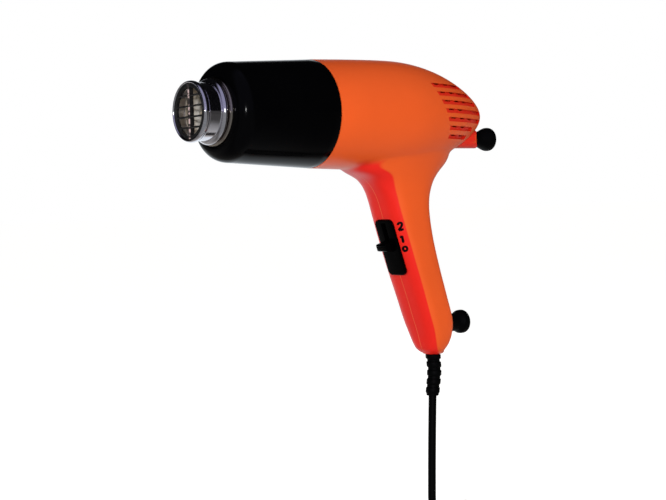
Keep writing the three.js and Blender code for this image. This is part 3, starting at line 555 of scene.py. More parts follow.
def squared_oval(half_a, half_b, square, count):
    """Points round an oval, plain where square is 2, and with flatter sides the higher it is."""
    points = []
    for k in range(count):
        angle = 2 * math.pi * k / count
        c, s = math.cos(angle), math.sin(angle)
        points.append((half_a * math.copysign(abs(c) ** (2 / square), c),
                       half_b * math.copysign(abs(s) ** (2 / square), s)))
    return points


def rounded_outline(width, length, corner, steps=8):
    a, b = width / 2 - corner, length / 2 - corner
    points = []
    for x, y, start in ((a, -b, -90), (a, b, 0), (-a, b, 90), (-a, -b, 180)):
        points += arc(x, y, corner, corner, start, start + 90, steps)
    return points


def apply_modifiers(ob):
    graph = bpy.context.evaluated_depsgraph_get()
    made = bpy.data.meshes.new_from_object(ob.evaluated_get(graph), depsgraph=graph)
    ob.modifiers.clear()
    ob.data = made


def boolean(ob, other, how="DIFFERENCE"):
    """Cuts a piece with another, joins them or keeps what they share. The other one is used up."""
    m = ob.modifiers.new("cut", "BOOLEAN")
    m.operation = how
    m.solver = "MANIFOLD"
    m.material_mode = "TRANSFER"
    m.object = other
    apply_modifiers(ob)
    bpy.data.objects.remove(other)
    return ob


def merged(name, obs):
    """One mesh from several, which are used up."""
    bm = bmesh.new()
    for o in obs:
        bm.from_mesh(o.data)
        bpy.data.objects.remove(o)
    mesh = bpy.data.meshes.new(name)
    bm.to_mesh(mesh)
    bm.free()
    return add_object(name, mesh)


def copied(ob, name):
    return add_object(name, ob.data.copy())


def bevel(ob, width, segments):
    m = ob.modifiers.new("bevel", "BEVEL")
    m.width = width * MM
    m.segments = segments
    m.limit_method = "ANGLE"
    m.angle_limit = math.radians(60)
    apply_modifiers(ob)


def finish_piece(ob, material, body="tool", cad=(), smooth=35):
    """Gives a piece its material if one is given, and its body; shades it smooth, and hides the solids that
    it stands for.
    """
    if material:
        dress(ob, material)
    if ob.type == "MESH":
        for p in ob.data.polygons:
            p.use_smooth = True
        ob.data.set_sharp_from_angle(angle=math.radians(smooth))
    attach(ob, body)
    if cad:
        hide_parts(*cad)
    return ob


# Housing: the same sections as the solids, drawn finer and with a soft blend between barrel and grip
BARREL = [(0, 35.5), (-28, 36.5), (-56, 37.1), (-73, 36.7), (-88, 34.8), (-102, 31.6), (-115, 27.3),
          (-127, 22.1), (-137, 16.7), (-145.5, 10.8), (-151, 5.2)]
TAIL_TIP = [(TAIL_X + 0.35, 2.4), (TAIL_X, 0)]
TAPER_X, TAPER_LENGTH = -90, 60      # behind this place an inset also moves the wall forwards
# Level sections of the grip: height, front, back, half width, squareness
GRIP = [(-12, -22, -112, 27, 2), (-22, -16, -119, 26.5, 2.05), (-29, -19, -118.5, 23.4, 2.1),
        (-34, -26, -114.5, 21.4, 2.2), (-38, -33, -109, 20.3, 2.4), (-43, -45, -102.8, 19.2, 2.7),
        (-49, -51.7, -98.2, 18.3, 3), (-57, -56.4, -94.8, 17.7, 3.4), (-68, -60.3, -94, 17.5, 3.6),
        (-85, -65.9, -96.3, 17.5, 3.6), (-105, -72.9, -101.3, 17.4, 3.6), (-125, -80.3, -107.5, 17, 3.6),
        (-142, -86.2, -112.8, 16.5, 3.5), (-152, -89.7, -113.2, 15.1, 3.2), (-159, -91.7, -111.7, 13.2, 2.8),
        (-163.2, -93.4, -109.3, 11, 2.6), (-166, -96.2, -108.2, 8.4, 2.3)]
CAVITY_END_Z = -163
VOXEL = 0.7
BLEND_TOP_Z, BLEND_BOTTOM_Z, BLEND_FADE = -20, -44, 8
EVEN_ROUNDS, BLEND_ROUNDS = 8, 60
GLAND_TOP_Z, GLAND_RADIUS, GLAND_CHAMFER, RELIEF_RADIUS = -150, 7.8, 1.6, 4.9
BOSS_ROOT_X = -122
BOSS_ROUND_X = UPPER_FOOT_X + 2.4 + FOOT_BOSS_RADIUS
SCREWS = [(-15, 27.5), (-15, -27.5), (-124, 3), (-76, -53), (-85.5, -117), (-93.6, -148)]
SCREW_SHANK, SCREW_HEAD, SCREW_BOSS = 1.4, 2.9, 4.9
SCREW_SEAT, SCREW_TIP = -5, 9


def barrel_lathe(name, inset, sides, steps, front):
    profile = [(front, 0), (front, JOINT_RADIUS - inset)]
    for x, radius in catmull(BARREL + TAIL_TIP, steps):
        x = x + inset * max(0, (TAPER_X - x) / TAPER_LENGTH)
        if x < front - 0.5 and radius - inset > 0.4:
            profile.append((x, radius - inset))
    return turned(name, profile + [(TAIL_X + inset * 1.1, 0)], sides)


def grip_ring(z, front, back, half, square, inset, count):
    middle = (front + back) / 2
    depth = max((front - back) / 2 - inset, 0.6)
    width = max(half - inset, 0.6)
    return [place(middle + a, b, z) for a, b in squared_oval(depth, width, square, count)]


def grip_loft(name, inset, count, steps):
    rows = GRIP if inset == 0 else [row for row in GRIP if row[0] > CAVITY_END_Z]
    return loft(name, [grip_ring(*row, inset, count) for row in catmull(rows, steps)])


def put_upper_foot(along, a, b):
    return place(along, a, UPPER_FOOT_Z + b)


def put_lower_foot(along, a, b):
    return place(along, a, LOWER_FOOT_Z + b)


def put_gland(along, a, b):
    return place(CORD_X + a, b, along)


def blend_joint(ob):
    """Evens out the surface, and most of all where the grip runs into the barrel."""
    blend_group = ob.vertex_groups.new(name="blend")
    top, bottom, fade = model_z(BLEND_TOP_Z), model_z(BLEND_BOTTOM_Z), BLEND_FADE * MM
    for v in ob.data.vertices:
        z = v.co.z
        weight = min((top + fade - z) / fade, (z - bottom + fade) / fade, 1)
        if weight > 0:
            blend_group.add([v.index], weight, "REPLACE")
    for name, group, rounds in (("even", "", EVEN_ROUNDS), ("blend", "blend", BLEND_ROUNDS)):
        m = ob.modifiers.new(name, "SMOOTH")
        m.factor = 0.5
        m.iterations = rounds
        m.vertex_group = group
    apply_modifiers(ob)
    ob.vertex_groups.clear()


def plan_round(radius, name="plan_round"):
    """An upright cylinder: the boss's end is rounded by it, seen from above."""
    return rod(name, -40, 10, radius, 96, lambda along, a, b: place(BOSS_ROUND_X + a, b, along))


def pillars(radius, low, high):
    """A round bar across the tool at each screw."""
    bars = []
    for x, z in SCREWS:
        bars.append(rod("pillar", low, high, radius,
                        put=lambda along, a, b, x=x, z=z: place(x + a, along, z + b)))
    return merged("pillars", bars)


outer = merged("housing", [barrel_lathe("barrel", 0, 160, 8, 6), grip_loft("grip", 0, 120, 8)])
remesh = outer.modifiers.new("remesh", "REMESH")
remesh.mode = "VOXEL"
remesh.voxel_size = VOXEL * MM
apply_modifiers(outer)
blend_joint(outer)

boss = rod("boss", UPPER_FOOT_X - 2, BOSS_ROOT_X, FOOT_BOSS_RADIUS, 96, put_upper_foot)
boss_root = block("boss_root", (BOSS_ROUND_X, -110), (-10, 10), (-30, 0))
boolean(boss, boolean(plan_round(FOOT_BOSS_RADIUS), boss_root, "UNION"), "INTERSECT")
boolean(outer, boss, "UNION")
gland_profile = [
    (GLAND_END_Z, 0), (GLAND_END_Z, GLAND_RADIUS - GLAND_CHAMFER), (GLAND_END_Z + 0.35, GLAND_RADIUS - 0.75),
    (GLAND_END_Z + 0.9, GLAND_RADIUS - 0.2), (GLAND_END_Z + GLAND_CHAMFER, GLAND_RADIUS),
    (GLAND_TOP_Z, GLAND_RADIUS), (GLAND_TOP_Z, 0)]
boolean(outer, turned("gland", gland_profile, 96, put=put_gland), "UNION")
dress(outer, "orange")

cavity = boolean(barrel_lathe("cavity", WALL, 64, 3, 1), grip_loft("grip_cavity", WALL, 48, 3), "UNION")
boolean(cavity, pillars(SCREW_BOSS, -OUTSIDE, OUTSIDE))
boolean(cavity, rod("collar", -160, -128, FOOT_STEM + 3, put=put_upper_foot))
shell = boolean(outer, cavity)
boolean(shell, block("front_cut", (0, 30), (-OUTSIDE, OUTSIDE), (-OUTSIDE, OUTSIDE)))

# Switch place: n points out of the grip, w up along it
RAKE = math.radians(18)
SWITCH_X, SWITCH_Z = -67.4, -90.3
PLATE_LENGTH, PLATE_WIDTH, PLATE_CORNER, PLATE_PROUD, PLATE_SUNK = 40.2, 17.4, 3.5, 1.3, 1.2
KNOB_REST, KNOB_TRAVEL, STEM_HALF = 1.2, 14.4, 2.0
SLOT_LOW, SLOT_HIGH = KNOB_REST - STEM_HALF - 0.4, KNOB_REST + KNOB_TRAVEL + STEM_HALF + 0.4
HOLE_MARGIN = 1.4


def put_switch(n, y, w):
    return place(SWITCH_X + n * math.cos(RAKE) + w * math.sin(RAKE), y,
                 SWITCH_Z - n * math.sin(RAKE) + w * math.cos(RAKE))


recess_outline = rounded_outline(PLATE_WIDTH + 2 * GAP, PLATE_LENGTH + 2 * GAP, PLATE_CORNER + GAP)
boolean(shell, prism("recess", recess_outline, -PLATE_SUNK - GAP, 8, put_switch))
hole_height = (SLOT_LOW - HOLE_MARGIN, SLOT_HIGH + HOLE_MARGIN)
boolean(shell, block("switch_hole", (-8, 0), (-5, 5), hole_height, put_switch))
RELIEF_HOLE, RELIEF_GROOVE = RELIEF_RADIUS + GAP, 6.8
relief_hole_profile = [
    (-180, 0), (-180, RELIEF_HOLE), (-158.9, RELIEF_HOLE), (-158.9, RELIEF_GROOVE), (-156.1, RELIEF_GROOVE),
    (-156.1, RELIEF_HOLE), (GLAND_TOP_Z, RELIEF_HOLE), (GLAND_TOP_Z, 0)]
boolean(shell, merged("round_holes", [
    rod("hole", -170, -120, FOOT_STEM + GAP, put=put_upper_foot),
    rod("hole", -130, -100, FOOT_NECK + GAP, put=put_lower_foot),
    turned("hole", relief_hole_profile, 32, put=put_gland),
]))

# Inlet slots: shallow grooves with slanted front ends, and windows along their upper edge
SLOT_TOP_Z, SLOT_PITCH, SLOT_HEIGHT, SLOT_DEPTH, SLOT_INNER = 18.75, 5.75, 2.9, 1.4, 8
SLOT_SPANS = [(70.5, 33), (67.5, 22), (64.5, 18), (61.4, 8), (58.7, 9), (56.3, 23), (55, 29)]
SLOT_SLANTS = [0.55, 0.55, 0.5, 0.42, 0.3, 0.0, -0.25]
WINDOW_HEIGHT, WINDOW_LENGTH, WINDOW_PITCH, FIRST_WINDOW = 0.85, 5.8, 11.5, 7.5
WINDOW_MARGIN, WINDOW_REACH = 4, 35
HALF_GAP, BEYOND = 0.04, 90


def slot_tools(side):
    """The grooves and the windows of one side, as two cutters."""
    across = sorted((side * SLOT_INNER, side * OUTSIDE))
    h = SLOT_HEIGHT / 2
    grooves, windows = [], []
    for k, ((front, back), slant) in enumerate(zip(SLOT_SPANS, SLOT_SLANTS)):
        front, back, z = TAIL_X + front, TAIL_X + back, SLOT_TOP_Z - k * SLOT_PITCH
        outline = [(back, z - h), (front - slant * h, z - h), (front + slant * h, z + h), (back, z + h)]
        grooves.append(prism("groove", outline, *across, lambda y, x, z: place(x, y, z)))
        middle = front - FIRST_WINDOW
        while middle > back + WINDOW_MARGIN and middle > front - WINDOW_REACH:
            length = (middle - WINDOW_LENGTH / 2, middle + WINDOW_LENGTH / 2)
            windows.append(block("window", length, across, (z + h - WINDOW_HEIGHT, z + h)))
            middle -= WINDOW_PITCH
    groove = boolean(merged("grooves", grooves), barrel_lathe("skin", SLOT_DEPTH, 128, 6, 6))
    window = boolean(merged("windows", windows), pillars(SCREW_BOSS, -OUTSIDE, OUTSIDE))
    # The cutters carry their material onto the faces they cut, so the redder slot colour is painted shade
    # there
    for tool in (groove, window):
        dress(tool, "deep")
    return groove, window


for side, name, cad in ((1, "left_shell", "left_housing"), (-1, "right_shell", "right_housing")):
    half = copied(shell, name)
    room = sorted((side * HALF_GAP, side * BEYOND))
    boolean(half, block("room", (-200, 50), room, (-200, BEYOND)), "INTERSECT")
    for tool in slot_tools(side):
        boolean(half, tool)
    if side > 0:
        boolean(half, pillars(SCREW_SHANK + GAP, -1, SCREW_TIP + 1))
    else:
        boolean(half, pillars(SCREW_HEAD + GAP, -OUTSIDE, SCREW_SEAT))
        boolean(half, pillars(SCREW_SHANK + GAP, SCREW_SEAT - 1, 1))
    finish_piece(half, None, cad=[cad], smooth=32)
bpy.data.objects.remove(shell)

# Heat shield: a black sleeve with a rounded shoulder and a snout that holds the nozzle
SHIELD_FRONT_RADIUS, SHIELD_LENGTH, SNOUT_X, SNOUT_RADIUS, SNOUT_BORE = 31.6, 62.0, 73.5, 22.1, 21.7
SHOULDER_FULLNESS, SHOULDER_STEPS, SLEEVE_STEPS = 2.3, 28, 12
SPIGOT_END_X, SPIGOT_RADIUS, SHIELD_WALL = -8, JOINT_RADIUS - WALL - GAP, 2.2


def sleeve_point(k):
    return (GAP + (SHIELD_LENGTH - GAP) * k / SLEEVE_STEPS,
            JOINT_RADIUS - 0.1 + (SHIELD_FRONT_RADIUS + 0.1 - JOINT_RADIUS) * k / SLEEVE_STEPS)


def shoulder_point(k):
    a = math.pi / 2 * k / SHOULDER_STEPS
    power = 2 / SHOULDER_FULLNESS
    return (SHIELD_LENGTH + (SNOUT_X - SHIELD_LENGTH) * math.sin(a) ** power,
            SNOUT_RADIUS + (SHIELD_FRONT_RADIUS - SNOUT_RADIUS) * max(math.cos(a), 0) ** power)


spigot = [(SPIGOT_END_X, SPIGOT_RADIUS - SHIELD_WALL), (SPIGOT_END_X, SPIGOT_RADIUS - 0.3),
          (SPIGOT_END_X + 0.3, SPIGOT_RADIUS), (GAP, SPIGOT_RADIUS)]
rear_edge = [(GAP, JOINT_RADIUS - 0.4), (GAP + 0.1, JOINT_RADIUS - 0.18), (GAP + 0.35, JOINT_RADIUS - 0.1)]
sleeve = [sleeve_point(k) for k in range(1, SLEEVE_STEPS)]
shoulder = [shoulder_point(k) for k in range(SHOULDER_STEPS + 1)]
inside = [(SNOUT_X - 0.05, SNOUT_BORE + 0.15), (SNOUT_X - 0.2, SNOUT_BORE), (SNOUT_X - 3, SNOUT_BORE),
          (SNOUT_X - 6, SNOUT_BORE + 4.4), (SHIELD_LENGTH - 1.5, SHIELD_FRONT_RADIUS - SHIELD_WALL),
          (2, SPIGOT_RADIUS - SHIELD_WALL)]
shield = turned("shield_sleeve", spigot + rear_edge + sleeve + shoulder + inside, 160, True)
finish_piece(shield, "shield", cad=["heat_shield"])

# Steel nozzle: flange, tube, rolled bead and rolled rim
TUBE_RADIUS, BORE_RADIUS = 18.2, 17.2
FLANGE_RADIUS, FLANGE_BACK, FLANGE_FRONT, FLANGE_EDGE = 24, 4.4, 5.6, 0.2
BEAD_X, BEAD_RADIUS, BEAD_HALF = 77.6, 20.5, 2.1
NOZZLE_X, RIM_RADIUS, RIM_HALF, RIM_CURVE = 92.3, 19.0, 2.1, 0.95
BEAD_BACK, BEAD_FRONT = BEAD_X - BEAD_HALF, BEAD_X + BEAD_HALF
flange = [(FLANGE_BACK, BORE_RADIUS), (FLANGE_BACK, FLANGE_RADIUS - FLANGE_EDGE),
          (FLANGE_BACK + FLANGE_EDGE, FLANGE_RADIUS), (FLANGE_FRONT - FLANGE_EDGE, FLANGE_RADIUS),
          (FLANGE_FRONT, FLANGE_RADIUS - FLANGE_EDGE), (FLANGE_FRONT, TUBE_RADIUS)]
bead = [(BEAD_BACK - 0.5, TUBE_RADIUS), (BEAD_BACK - 0.15, TUBE_RADIUS)]
bead += arc(BEAD_X, TUBE_RADIUS, BEAD_HALF, BEAD_RADIUS - TUBE_RADIUS, 176, 4, 16)
bead += [(BEAD_FRONT + 0.2, TUBE_RADIUS + 0.04), (BEAD_FRONT + 0.5, TUBE_RADIUS),
         (BEAD_FRONT + 0.8, TUBE_RADIUS)]
rim = [(87.0, TUBE_RADIUS), (87.4, TUBE_RADIUS), (88.0, TUBE_RADIUS + 0.08)]
rim += arc(NOZZLE_X - RIM_HALF, RIM_RADIUS - RIM_CURVE, RIM_HALF, RIM_CURVE, 160, -30, 14)
rim += [(91.6, BORE_RADIUS + 0.1), (91.0, BORE_RADIUS)]
finish_piece(turned("nozzle", flange + bead + rim, 144, True), "chrome", cad=["nozzle_tube"])
ring_profile = [(70.5, 18.5), (70.5, 21.4), (74.3, 21.4), (74.9, 21.15), (75.2, 20.6), (75.2, 18.6),
                (75.1, 18.5)]
finish_piece(turned("centring_ring", ring_profile, 128, True), "ring", cad=["retaining_ring"])
mica_profile = [(5.5, 16.2), (5.5, 16.9), (84, 16.9), (84, 16.2)]
finish_piece(turned("mica_tube", mica_profile, 96, True), "mica_tube", cad=["mica_sleeve"])

# Outlet grille: a ring, four level bars and one upright bar
GRILLE_X, GRILLE_RADIUS, BAR_RADIUS, BAR_PITCH = NOZZLE_X - 0.9, BORE_RADIUS - GAP, 0.6, 6.5
UPRIGHT_HALF = 1.25
grille = turned("outlet_bars", [
    (GRILLE_X - 1.8, GRILLE_RADIUS - 2), (GRILLE_X - 1.8, GRILLE_RADIUS - 0.2),
    (GRILLE_X - 1.6, GRILLE_RADIUS), (GRILLE_X + 0.2, GRILLE_RADIUS), (GRILLE_X + 0.5, GRILLE_RADIUS - 0.3),
    (GRILLE_X + 0.5, GRILLE_RADIUS - 1.7), (GRILLE_X + 0.2, GRILLE_RADIUS - 2)], 96, True)
for k in (-1.5, -0.5, 0.5, 1.5):
    z = k * BAR_PITCH
    reach = math.sqrt(GRILLE_RADIUS ** 2 - z ** 2) - 0.6
    bar = rod("bar", -reach, reach, BAR_RADIUS, 24,
              lambda along, a, b, z=z: place(GRILLE_X + a, along, z + b))
    boolean(grille, bar, "UNION")
upright = block("upright", (GRILLE_X - 2.5, GRILLE_X + 0.3), (-UPRIGHT_HALF, UPRIGHT_HALF),
                (0.5 - GRILLE_RADIUS, GRILLE_RADIUS - 0.5))
boolean(grille, upright, "UNION")
finish_piece(grille, "grille", cad=["outlet_grille"])

# Heating winding and the leads in the grip
WINDING_X, WINDING_LENGTH, WINDING_RADIUS, WINDING_WIRE = 14, 56, 13.7, 0.8
WINDING_STEPS, STEPS_PER_TURN = 240, 40
LEAD_RADIUS = 0.9
winding = []
for k in range(WINDING_STEPS + 1):
    a = 2 * math.pi * k / STEPS_PER_TURN
    winding.append((WINDING_X + WINDING_LENGTH * k / WINDING_STEPS,
                    WINDING_RADIUS * math.cos(a), WINDING_RADIUS * math.sin(a)))
winding_wire = round_wire("winding_wire", winding, WINDING_WIRE)
finish_piece(winding_wire, "wire", cad=["heating_winding"])
lead_x = hang(CORD_TOP_Z)
LEADS = {
    "brown_lead": ("brown", [
        (lead_x, 1.3, -141.8), (lead_x, 8, -136.4), (-101, 9.8, -128), (-96, 9, -112), (-91, 3, -94),
        (-88.4, 0, -83.6)]),
    "blue_lead": ("blue", [
        (lead_x, -1.3, -141.8), (lead_x, -8, -136.4), (-101, -9.8, -128), (-97, -9.6, -112), (-93, -8, -90),
        (-89.5, -5, -64), (-89, -4, -50), (-90.4, -4, -36), (-92, -4, -18), (-88.7, -5, -8.4)]),
    "motor_lead": ("brown", [
        (-86.6, 0, -75.6), (-89.2, 1, -68), (-89.3, 2, -56), (-90.4, 2, -40), (-92, 1.6, -20),
        (-88.6, 0, -9.4)]),
}
for name, (color, points) in LEADS.items():
    wire = round_wire(name + "_wire", catmull(points, 8), LEAD_RADIUS)
    finish_piece(wire, color, cad=[name])

# Switch plate and knob
plate_outline = rounded_outline(PLATE_WIDTH, PLATE_LENGTH, PLATE_CORNER)
plate = prism("slide_plate", plate_outline, -PLATE_SUNK, PLATE_PROUD, put_switch)
bevel(plate, 0.55, 4)
slot_width = (-STEM_HALF - GAP, STEM_HALF + GAP)
boolean(plate, block("plate_slot", (-4, 4), slot_width, (SLOT_LOW, SLOT_HIGH), put_switch))
finish_piece(plate, "black", cad=["switch_plate"])
# The knob's side view, with the ribs for the thumb: n, w from its middle
knob_outline = [(1.6, -3.4), (3.0, -3.2), (4.6, -2.6), (6.4, -1.9), (7.8, -1.3), (8.4, -0.9), (8.6, -0.4),
                (8.45, 0.0), (8.6, 0.4), (8.6, 0.8), (8.45, 1.2), (8.6, 1.6), (8.6, 2.0), (8.45, 2.4),
                (8.6, 2.8), (8.35, 3.45), (7.8, 3.8), (4, 3.8), (1.6, 3.8)]
KNOB_HALF = 5
knob = prism("slide_knob", [(n, w + KNOB_REST) for n, w in knob_outline], -KNOB_HALF, KNOB_HALF,
             lambda y, n, w: put_switch(n, y, w))
bevel(knob, 0.45, 3)
for name, depth, half_y, half_w in (("stem", (-2.6, 2.4), 1.98, 2), ("foot", (-3.1, -1.5), 3.6, 3.4)):
    height = (KNOB_REST - half_w, KNOB_REST + half_w)
    boolean(knob, block(name, depth, (-half_y, half_y), height, put_switch), "UNION")
finish_piece(knob, "black", body="slider", cad=["switch_knob"])


# Rubber feet
def foot_profile(end_x, neck, stem):
    """A foot from its flat end over its rounded side to the neck, and the stem in the housing."""
    side = FOOT_RADIUS - 0.2
    flank = catmull([
        (end_x + 0.1, FOOT_RADIUS - 0.8), (end_x + 0.5, FOOT_RADIUS - 0.3), (end_x + 1.8, FOOT_RADIUS),
        (end_x + 4.5, side), ((end_x + 4.5 + neck[0]) / 2, (side + neck[1]) / 2), neck], 6)
    return [(end_x, 0), (end_x, FOOT_RADIUS - 1.15)] + [tuple(p) for p in flank] + stem


tail_foot_profile = foot_profile(
    UPPER_FOOT_X - 12.5, (UPPER_FOOT_X, FOOT_BOSS_RADIUS - 1.3),
    [(UPPER_FOOT_X + 7, FOOT_BOSS_RADIUS - 1.4), (UPPER_FOOT_X + 7, 0)])
tail_foot = turned("tail_foot", tail_foot_profile, 72, put=put_upper_foot)
boolean(tail_foot, plan_round(FOOT_BOSS_RADIUS + 0.15, "saddle"))
tail_stem = rod("stem", UPPER_FOOT_X - 1, UPPER_FOOT_X + 17, FOOT_STEM, 48, put_upper_foot)
boolean(tail_foot, tail_stem, "UNION")
finish_piece(tail_foot, "rubber", cad=["upper_foot"])
grip_foot_profile = foot_profile(
    LOWER_FOOT_X, (LOWER_FOOT_X + 7.9, FOOT_NECK + 1.2),
    [(-120, 6.3), (-115, FOOT_NECK + 1), (-115, FOOT_NECK), (-109.5, FOOT_NECK), (-109.5, 0)])
grip_foot = turned("grip_foot", grip_foot_profile, 72, put=put_lower_foot)
finish_piece(grip_foot, "rubber", cad=["lower_foot"])


# Strain relief: a ribbed sleeve in line with the hanging cord
def put_relief(along, a, b):
    tilt = math.atan(CORD_TILT)
    z = CORD_OUT_Z + along * math.cos(tilt) + a * math.sin(tilt)
    return place(CORD_X + a * math.cos(tilt) - along * math.sin(tilt) + bow(z), b, z)


RIBS, FIRST_RIB, RIB_PITCH, RIB_RADIUS, RIB_TAPER = 4, -7.1, 6.05, 5.2, 0.08
VALLEY_RADIUS, RELIEF_BORE = 4.4, 3.1
relief_profile = [
    (8.7, RELIEF_BORE), (8.7, 5.9), (6.7, 5.9), (6.7, 4.6), (-2.1, 4.6), (-2.1, 5.2), (-2.4, 5.4),
    (-4.8, 5.4), (-5.15, 5.2), (-5.5, 4.6), (-5.7, VALLEY_RADIUS)]
for k in range(RIBS):
    z, r = FIRST_RIB - RIB_PITCH * k, RIB_RADIUS - RIB_TAPER * k
    relief_profile += [(z, VALLEY_RADIUS), (z - 0.3, r - 0.25), (z - 0.7, r), (z - 3.6, r),
                       (z - 4.0, r - 0.25), (z - 4.3, VALLEY_RADIUS)]
relief_profile += [(-30.8, 4.3), (-31.2, 3.9), (-31.2, RELIEF_BORE)]
relief = turned("relief_sleeve", relief_profile, 64, True, put_relief)
finish_piece(relief, "rubber", cad=["strain_relief"])

# Plug with two pins. Its sections: distance from its back, half width, half height, squareness
PLUG_ROWS = [(0, 4.6, 4.6, 2), (-1, 5.0, 5.0, 2), (-10, 6.2, 6, 2.1), (-16, 11, 9, 2.4),
             (-24, 16.5, 11.4, 2.7), (-33, 18, 12.2, 2.9), (-40, 18, 12.2, 2.9), (-40.8, 17.6, 11.8, 2.9),
             (-41, 17, 11.2, 2.9)]
PIN_PROFILE = [(-60, 0), (-60, 1.2), (-59.7, 1.7), (-58.8, 2.4), (-41.3, 2.4), (-41.3, 0)]
PIN_SPREAD = 9.5


def plug_ring(x, half_y, half_z, square):
    return [place(PLUG_BACK + x, a, PLUG_Z + b) for a, b in squared_oval(half_y, half_z, square, 72)]


plug = loft("plug_moulding", [plug_ring(*row) for row in catmull(PLUG_ROWS, 6)])
finish_piece(plug, "rubber", cad=["plug_body"])
for k, side in ((1, 1), (2, -1)):
    pin = turned(f"plug_pin_round_{k}", PIN_PROFILE, 40,
                 put=lambda along, a, b, s=side: place(PLUG_BACK + along, s * PIN_SPREAD + a, PLUG_Z + b))
    finish_piece(pin, "chrome", cad=[f"plug_pin_{k}"])
tie = nodes["cable_tie"]
tie_bevel = tie.modifiers.new("bevel", "BEVEL")
tie_bevel.width = 0.35 * MM
tie_bevel.segments = 3

cord.data.materials.append(mat["cord"])
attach(cord, "tool")
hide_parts("cord_lead", "cord_coil", "cord_tail")

# Digits beside the switch, as strokes laid on the grip's surface: place, closed or not, strokes
DIGITS = {
    "2": ((-63.9, 15, -76.0), False, [
        catmull([(-1.25, 1.3), (-0.9, 2.1), (0.1, 2.4), (1.05, 1.8), (1.0, 0.8), (0.2, -0.3), (-0.9, -1.4),
                 (-1.35, -2.1)], 6),
        catmull([(-1.35, -2.1), (0, -2.05), (1.45, -1.95)], 4)]),
    "1": ((-65.5, 15, -84.7), False, [
        [(-0.95, 1.15), (-0.4, 1.6), (0.15, 2.2)],
        [(0.15, 2.2), (0.15, 0), (0.15, -2.2)]]),
    "0": ((-67.7, 15, -91.3), True, [squared_oval(1.15, 1.35, 2, 28)]),
}
DIGIT_SCALE, STROKE_HALF, END_TAPER = 1.12, 0.8, 0.75
STROKE_STEP, STROKE_ROWS = 0.3, 5
INK_PROUD, INK_EDGE, INK_THICKNESS = 0.07, -0.03, 0.12
LOOK_FROM = 20
LOOK = Vector((-0.55, -0.83, 0.0))
DIGIT_UP = Vector((0.28, 0.05, 0.96)).normalized()
DIGIT_ACROSS = Vector((-0.80, 0.53, 0.05))
DIGIT_ACROSS = (DIGIT_ACROSS - DIGIT_UP * DIGIT_ACROSS.dot(DIGIT_UP)).normalized()

left_shell = bpy.data.objects["left_shell"].data
surface = BVHTree.FromPolygons([v.co for v in left_shell.vertices], [p.vertices for p in left_shell.polygons])


def stroke_points(line, closed):
    """Points a short step apart along a stroke."""
    corners = np.array(line) * DIGIT_SCALE
    count = len(corners)
    points = []
    for i in range(count if closed else count - 1):
        a, b = corners[i], corners[(i + 1) % count]
        n = max(1, int(np.linalg.norm(b - a) / STROKE_STEP))
        points += [a + (b - a) * s / n for s in range(n)]
    if not closed:
        points.append(corners[-1])
    return np.array(points)


def laid_digit(name, centre, closed, strokes):
    """Strokes projected on the grip near a place, seen from the front left."""
    vertices, faces = [], []
    for line in strokes:
        points = stroke_points(line, closed)
        total, first = len(points), len(vertices)
        for i, point in enumerate(points):
            before = points[(i - 1) % total] if closed else points[max(i - 1, 0)]
            after = points[(i + 1) % total] if closed else points[min(i + 1, total - 1)]
            d = after - before
            d = d / np.linalg.norm(d)
            side = np.array([-d[1], d[0]])
            taper = END_TAPER if not closed and i in (0, total - 1) else 1
            for j in range(STROKE_ROWS):
                s = -1 + 2 * j / (STROKE_ROWS - 1)
                at = point + side * s * STROKE_HALF * taper
                offset = (DIGIT_ACROSS * float(at[0]) + DIGIT_UP * float(at[1])) * MM
                hit, normal, _, _ = surface.ray_cast(place(*centre) + offset - LOOK * LOOK_FROM * MM, LOOK)
                vertices.append(hit + normal * (INK_PROUD if abs(s) < 0.9 else INK_EDGE) * MM)
        for i in range(total if closed else total - 1):
            here, following = first + i * STROKE_ROWS, first + (i + 1) % total * STROKE_ROWS
            for j in range(STROKE_ROWS - 1):
                faces.append((here + j, following + j, following + j + 1, here + j + 1))
    ob = add_object(name, new_mesh(name, vertices, faces))
    thick = ob.modifiers.new("thickness", "SOLIDIFY")
    thick.thickness = INK_THICKNESS * MM
    thick.offset = 0
    apply_modifiers(ob)
    finish_piece(ob, "ink", smooth=60)


for digit, (centre, closed, strokes) in DIGITS.items():
    laid_digit(f"digit_{digit}", centre, closed, strokes)

# Floor, world and lamps. In the gloss the room is dark, but for white behind the tool and a pale side
WHITE = (1.0, 1.0, 1.0)
DARK = (0.006, 0.006, 0.007)
DARKEST = (0.002, 0.002, 0.0025)
PALE_SIDE = (0.34, 0.34, 0.5)
BRIGHT_BACK = (0.9, 0.95, 1)
AMBIENT = (0.36, 0.36, 0.37)
FLOOR_COLOR, FLOOR_IN_GLOSS, GLOW_IN_GLOSS = (0.62, 0.61, 0.58), (0.02, 0.02, 0.02), (0.78, 0.9, 1.0)
FLOOR_GLOW, PALE_SHARE = 0.78, 0.35
FLOOR_HALF = 40                      # in metres
BEHIND_TOOL = tuple(-BACKWARDS)
# Parts of a unit vector between which each side of the room begins
PALE_FROM_X, PALE_FROM_Y, DARK_END_X = (-0.35, -0.15), (-0.3, 0.1), (-0.76, -0.67)
BEHIND_FROM, NEAR_UNTIL = (0.47, 0.66), (-0.7, 0.5)


def ray_kinds(nt):
    """Whether a ray is the camera's or comes through glass, and whether it is a reflection."""
    path = nt.nodes.new("ShaderNodeLightPath").outputs
    return math_node(nt, "MAXIMUM", path["Is Camera Ray"], path["Is Transmission Ray"]), path["Is Glossy Ray"]


def room_sides(nt, direction):
    """How far a direction points to the pale side of the room, and how far it keeps from the dark end."""
    part = xyz(nt, direction)
    pale = product(nt, rise(nt, part["X"], *PALE_FROM_X), rise(nt, part["Y"], *PALE_FROM_Y))
    return pale, rise(nt, part["X"], *DARK_END_X)


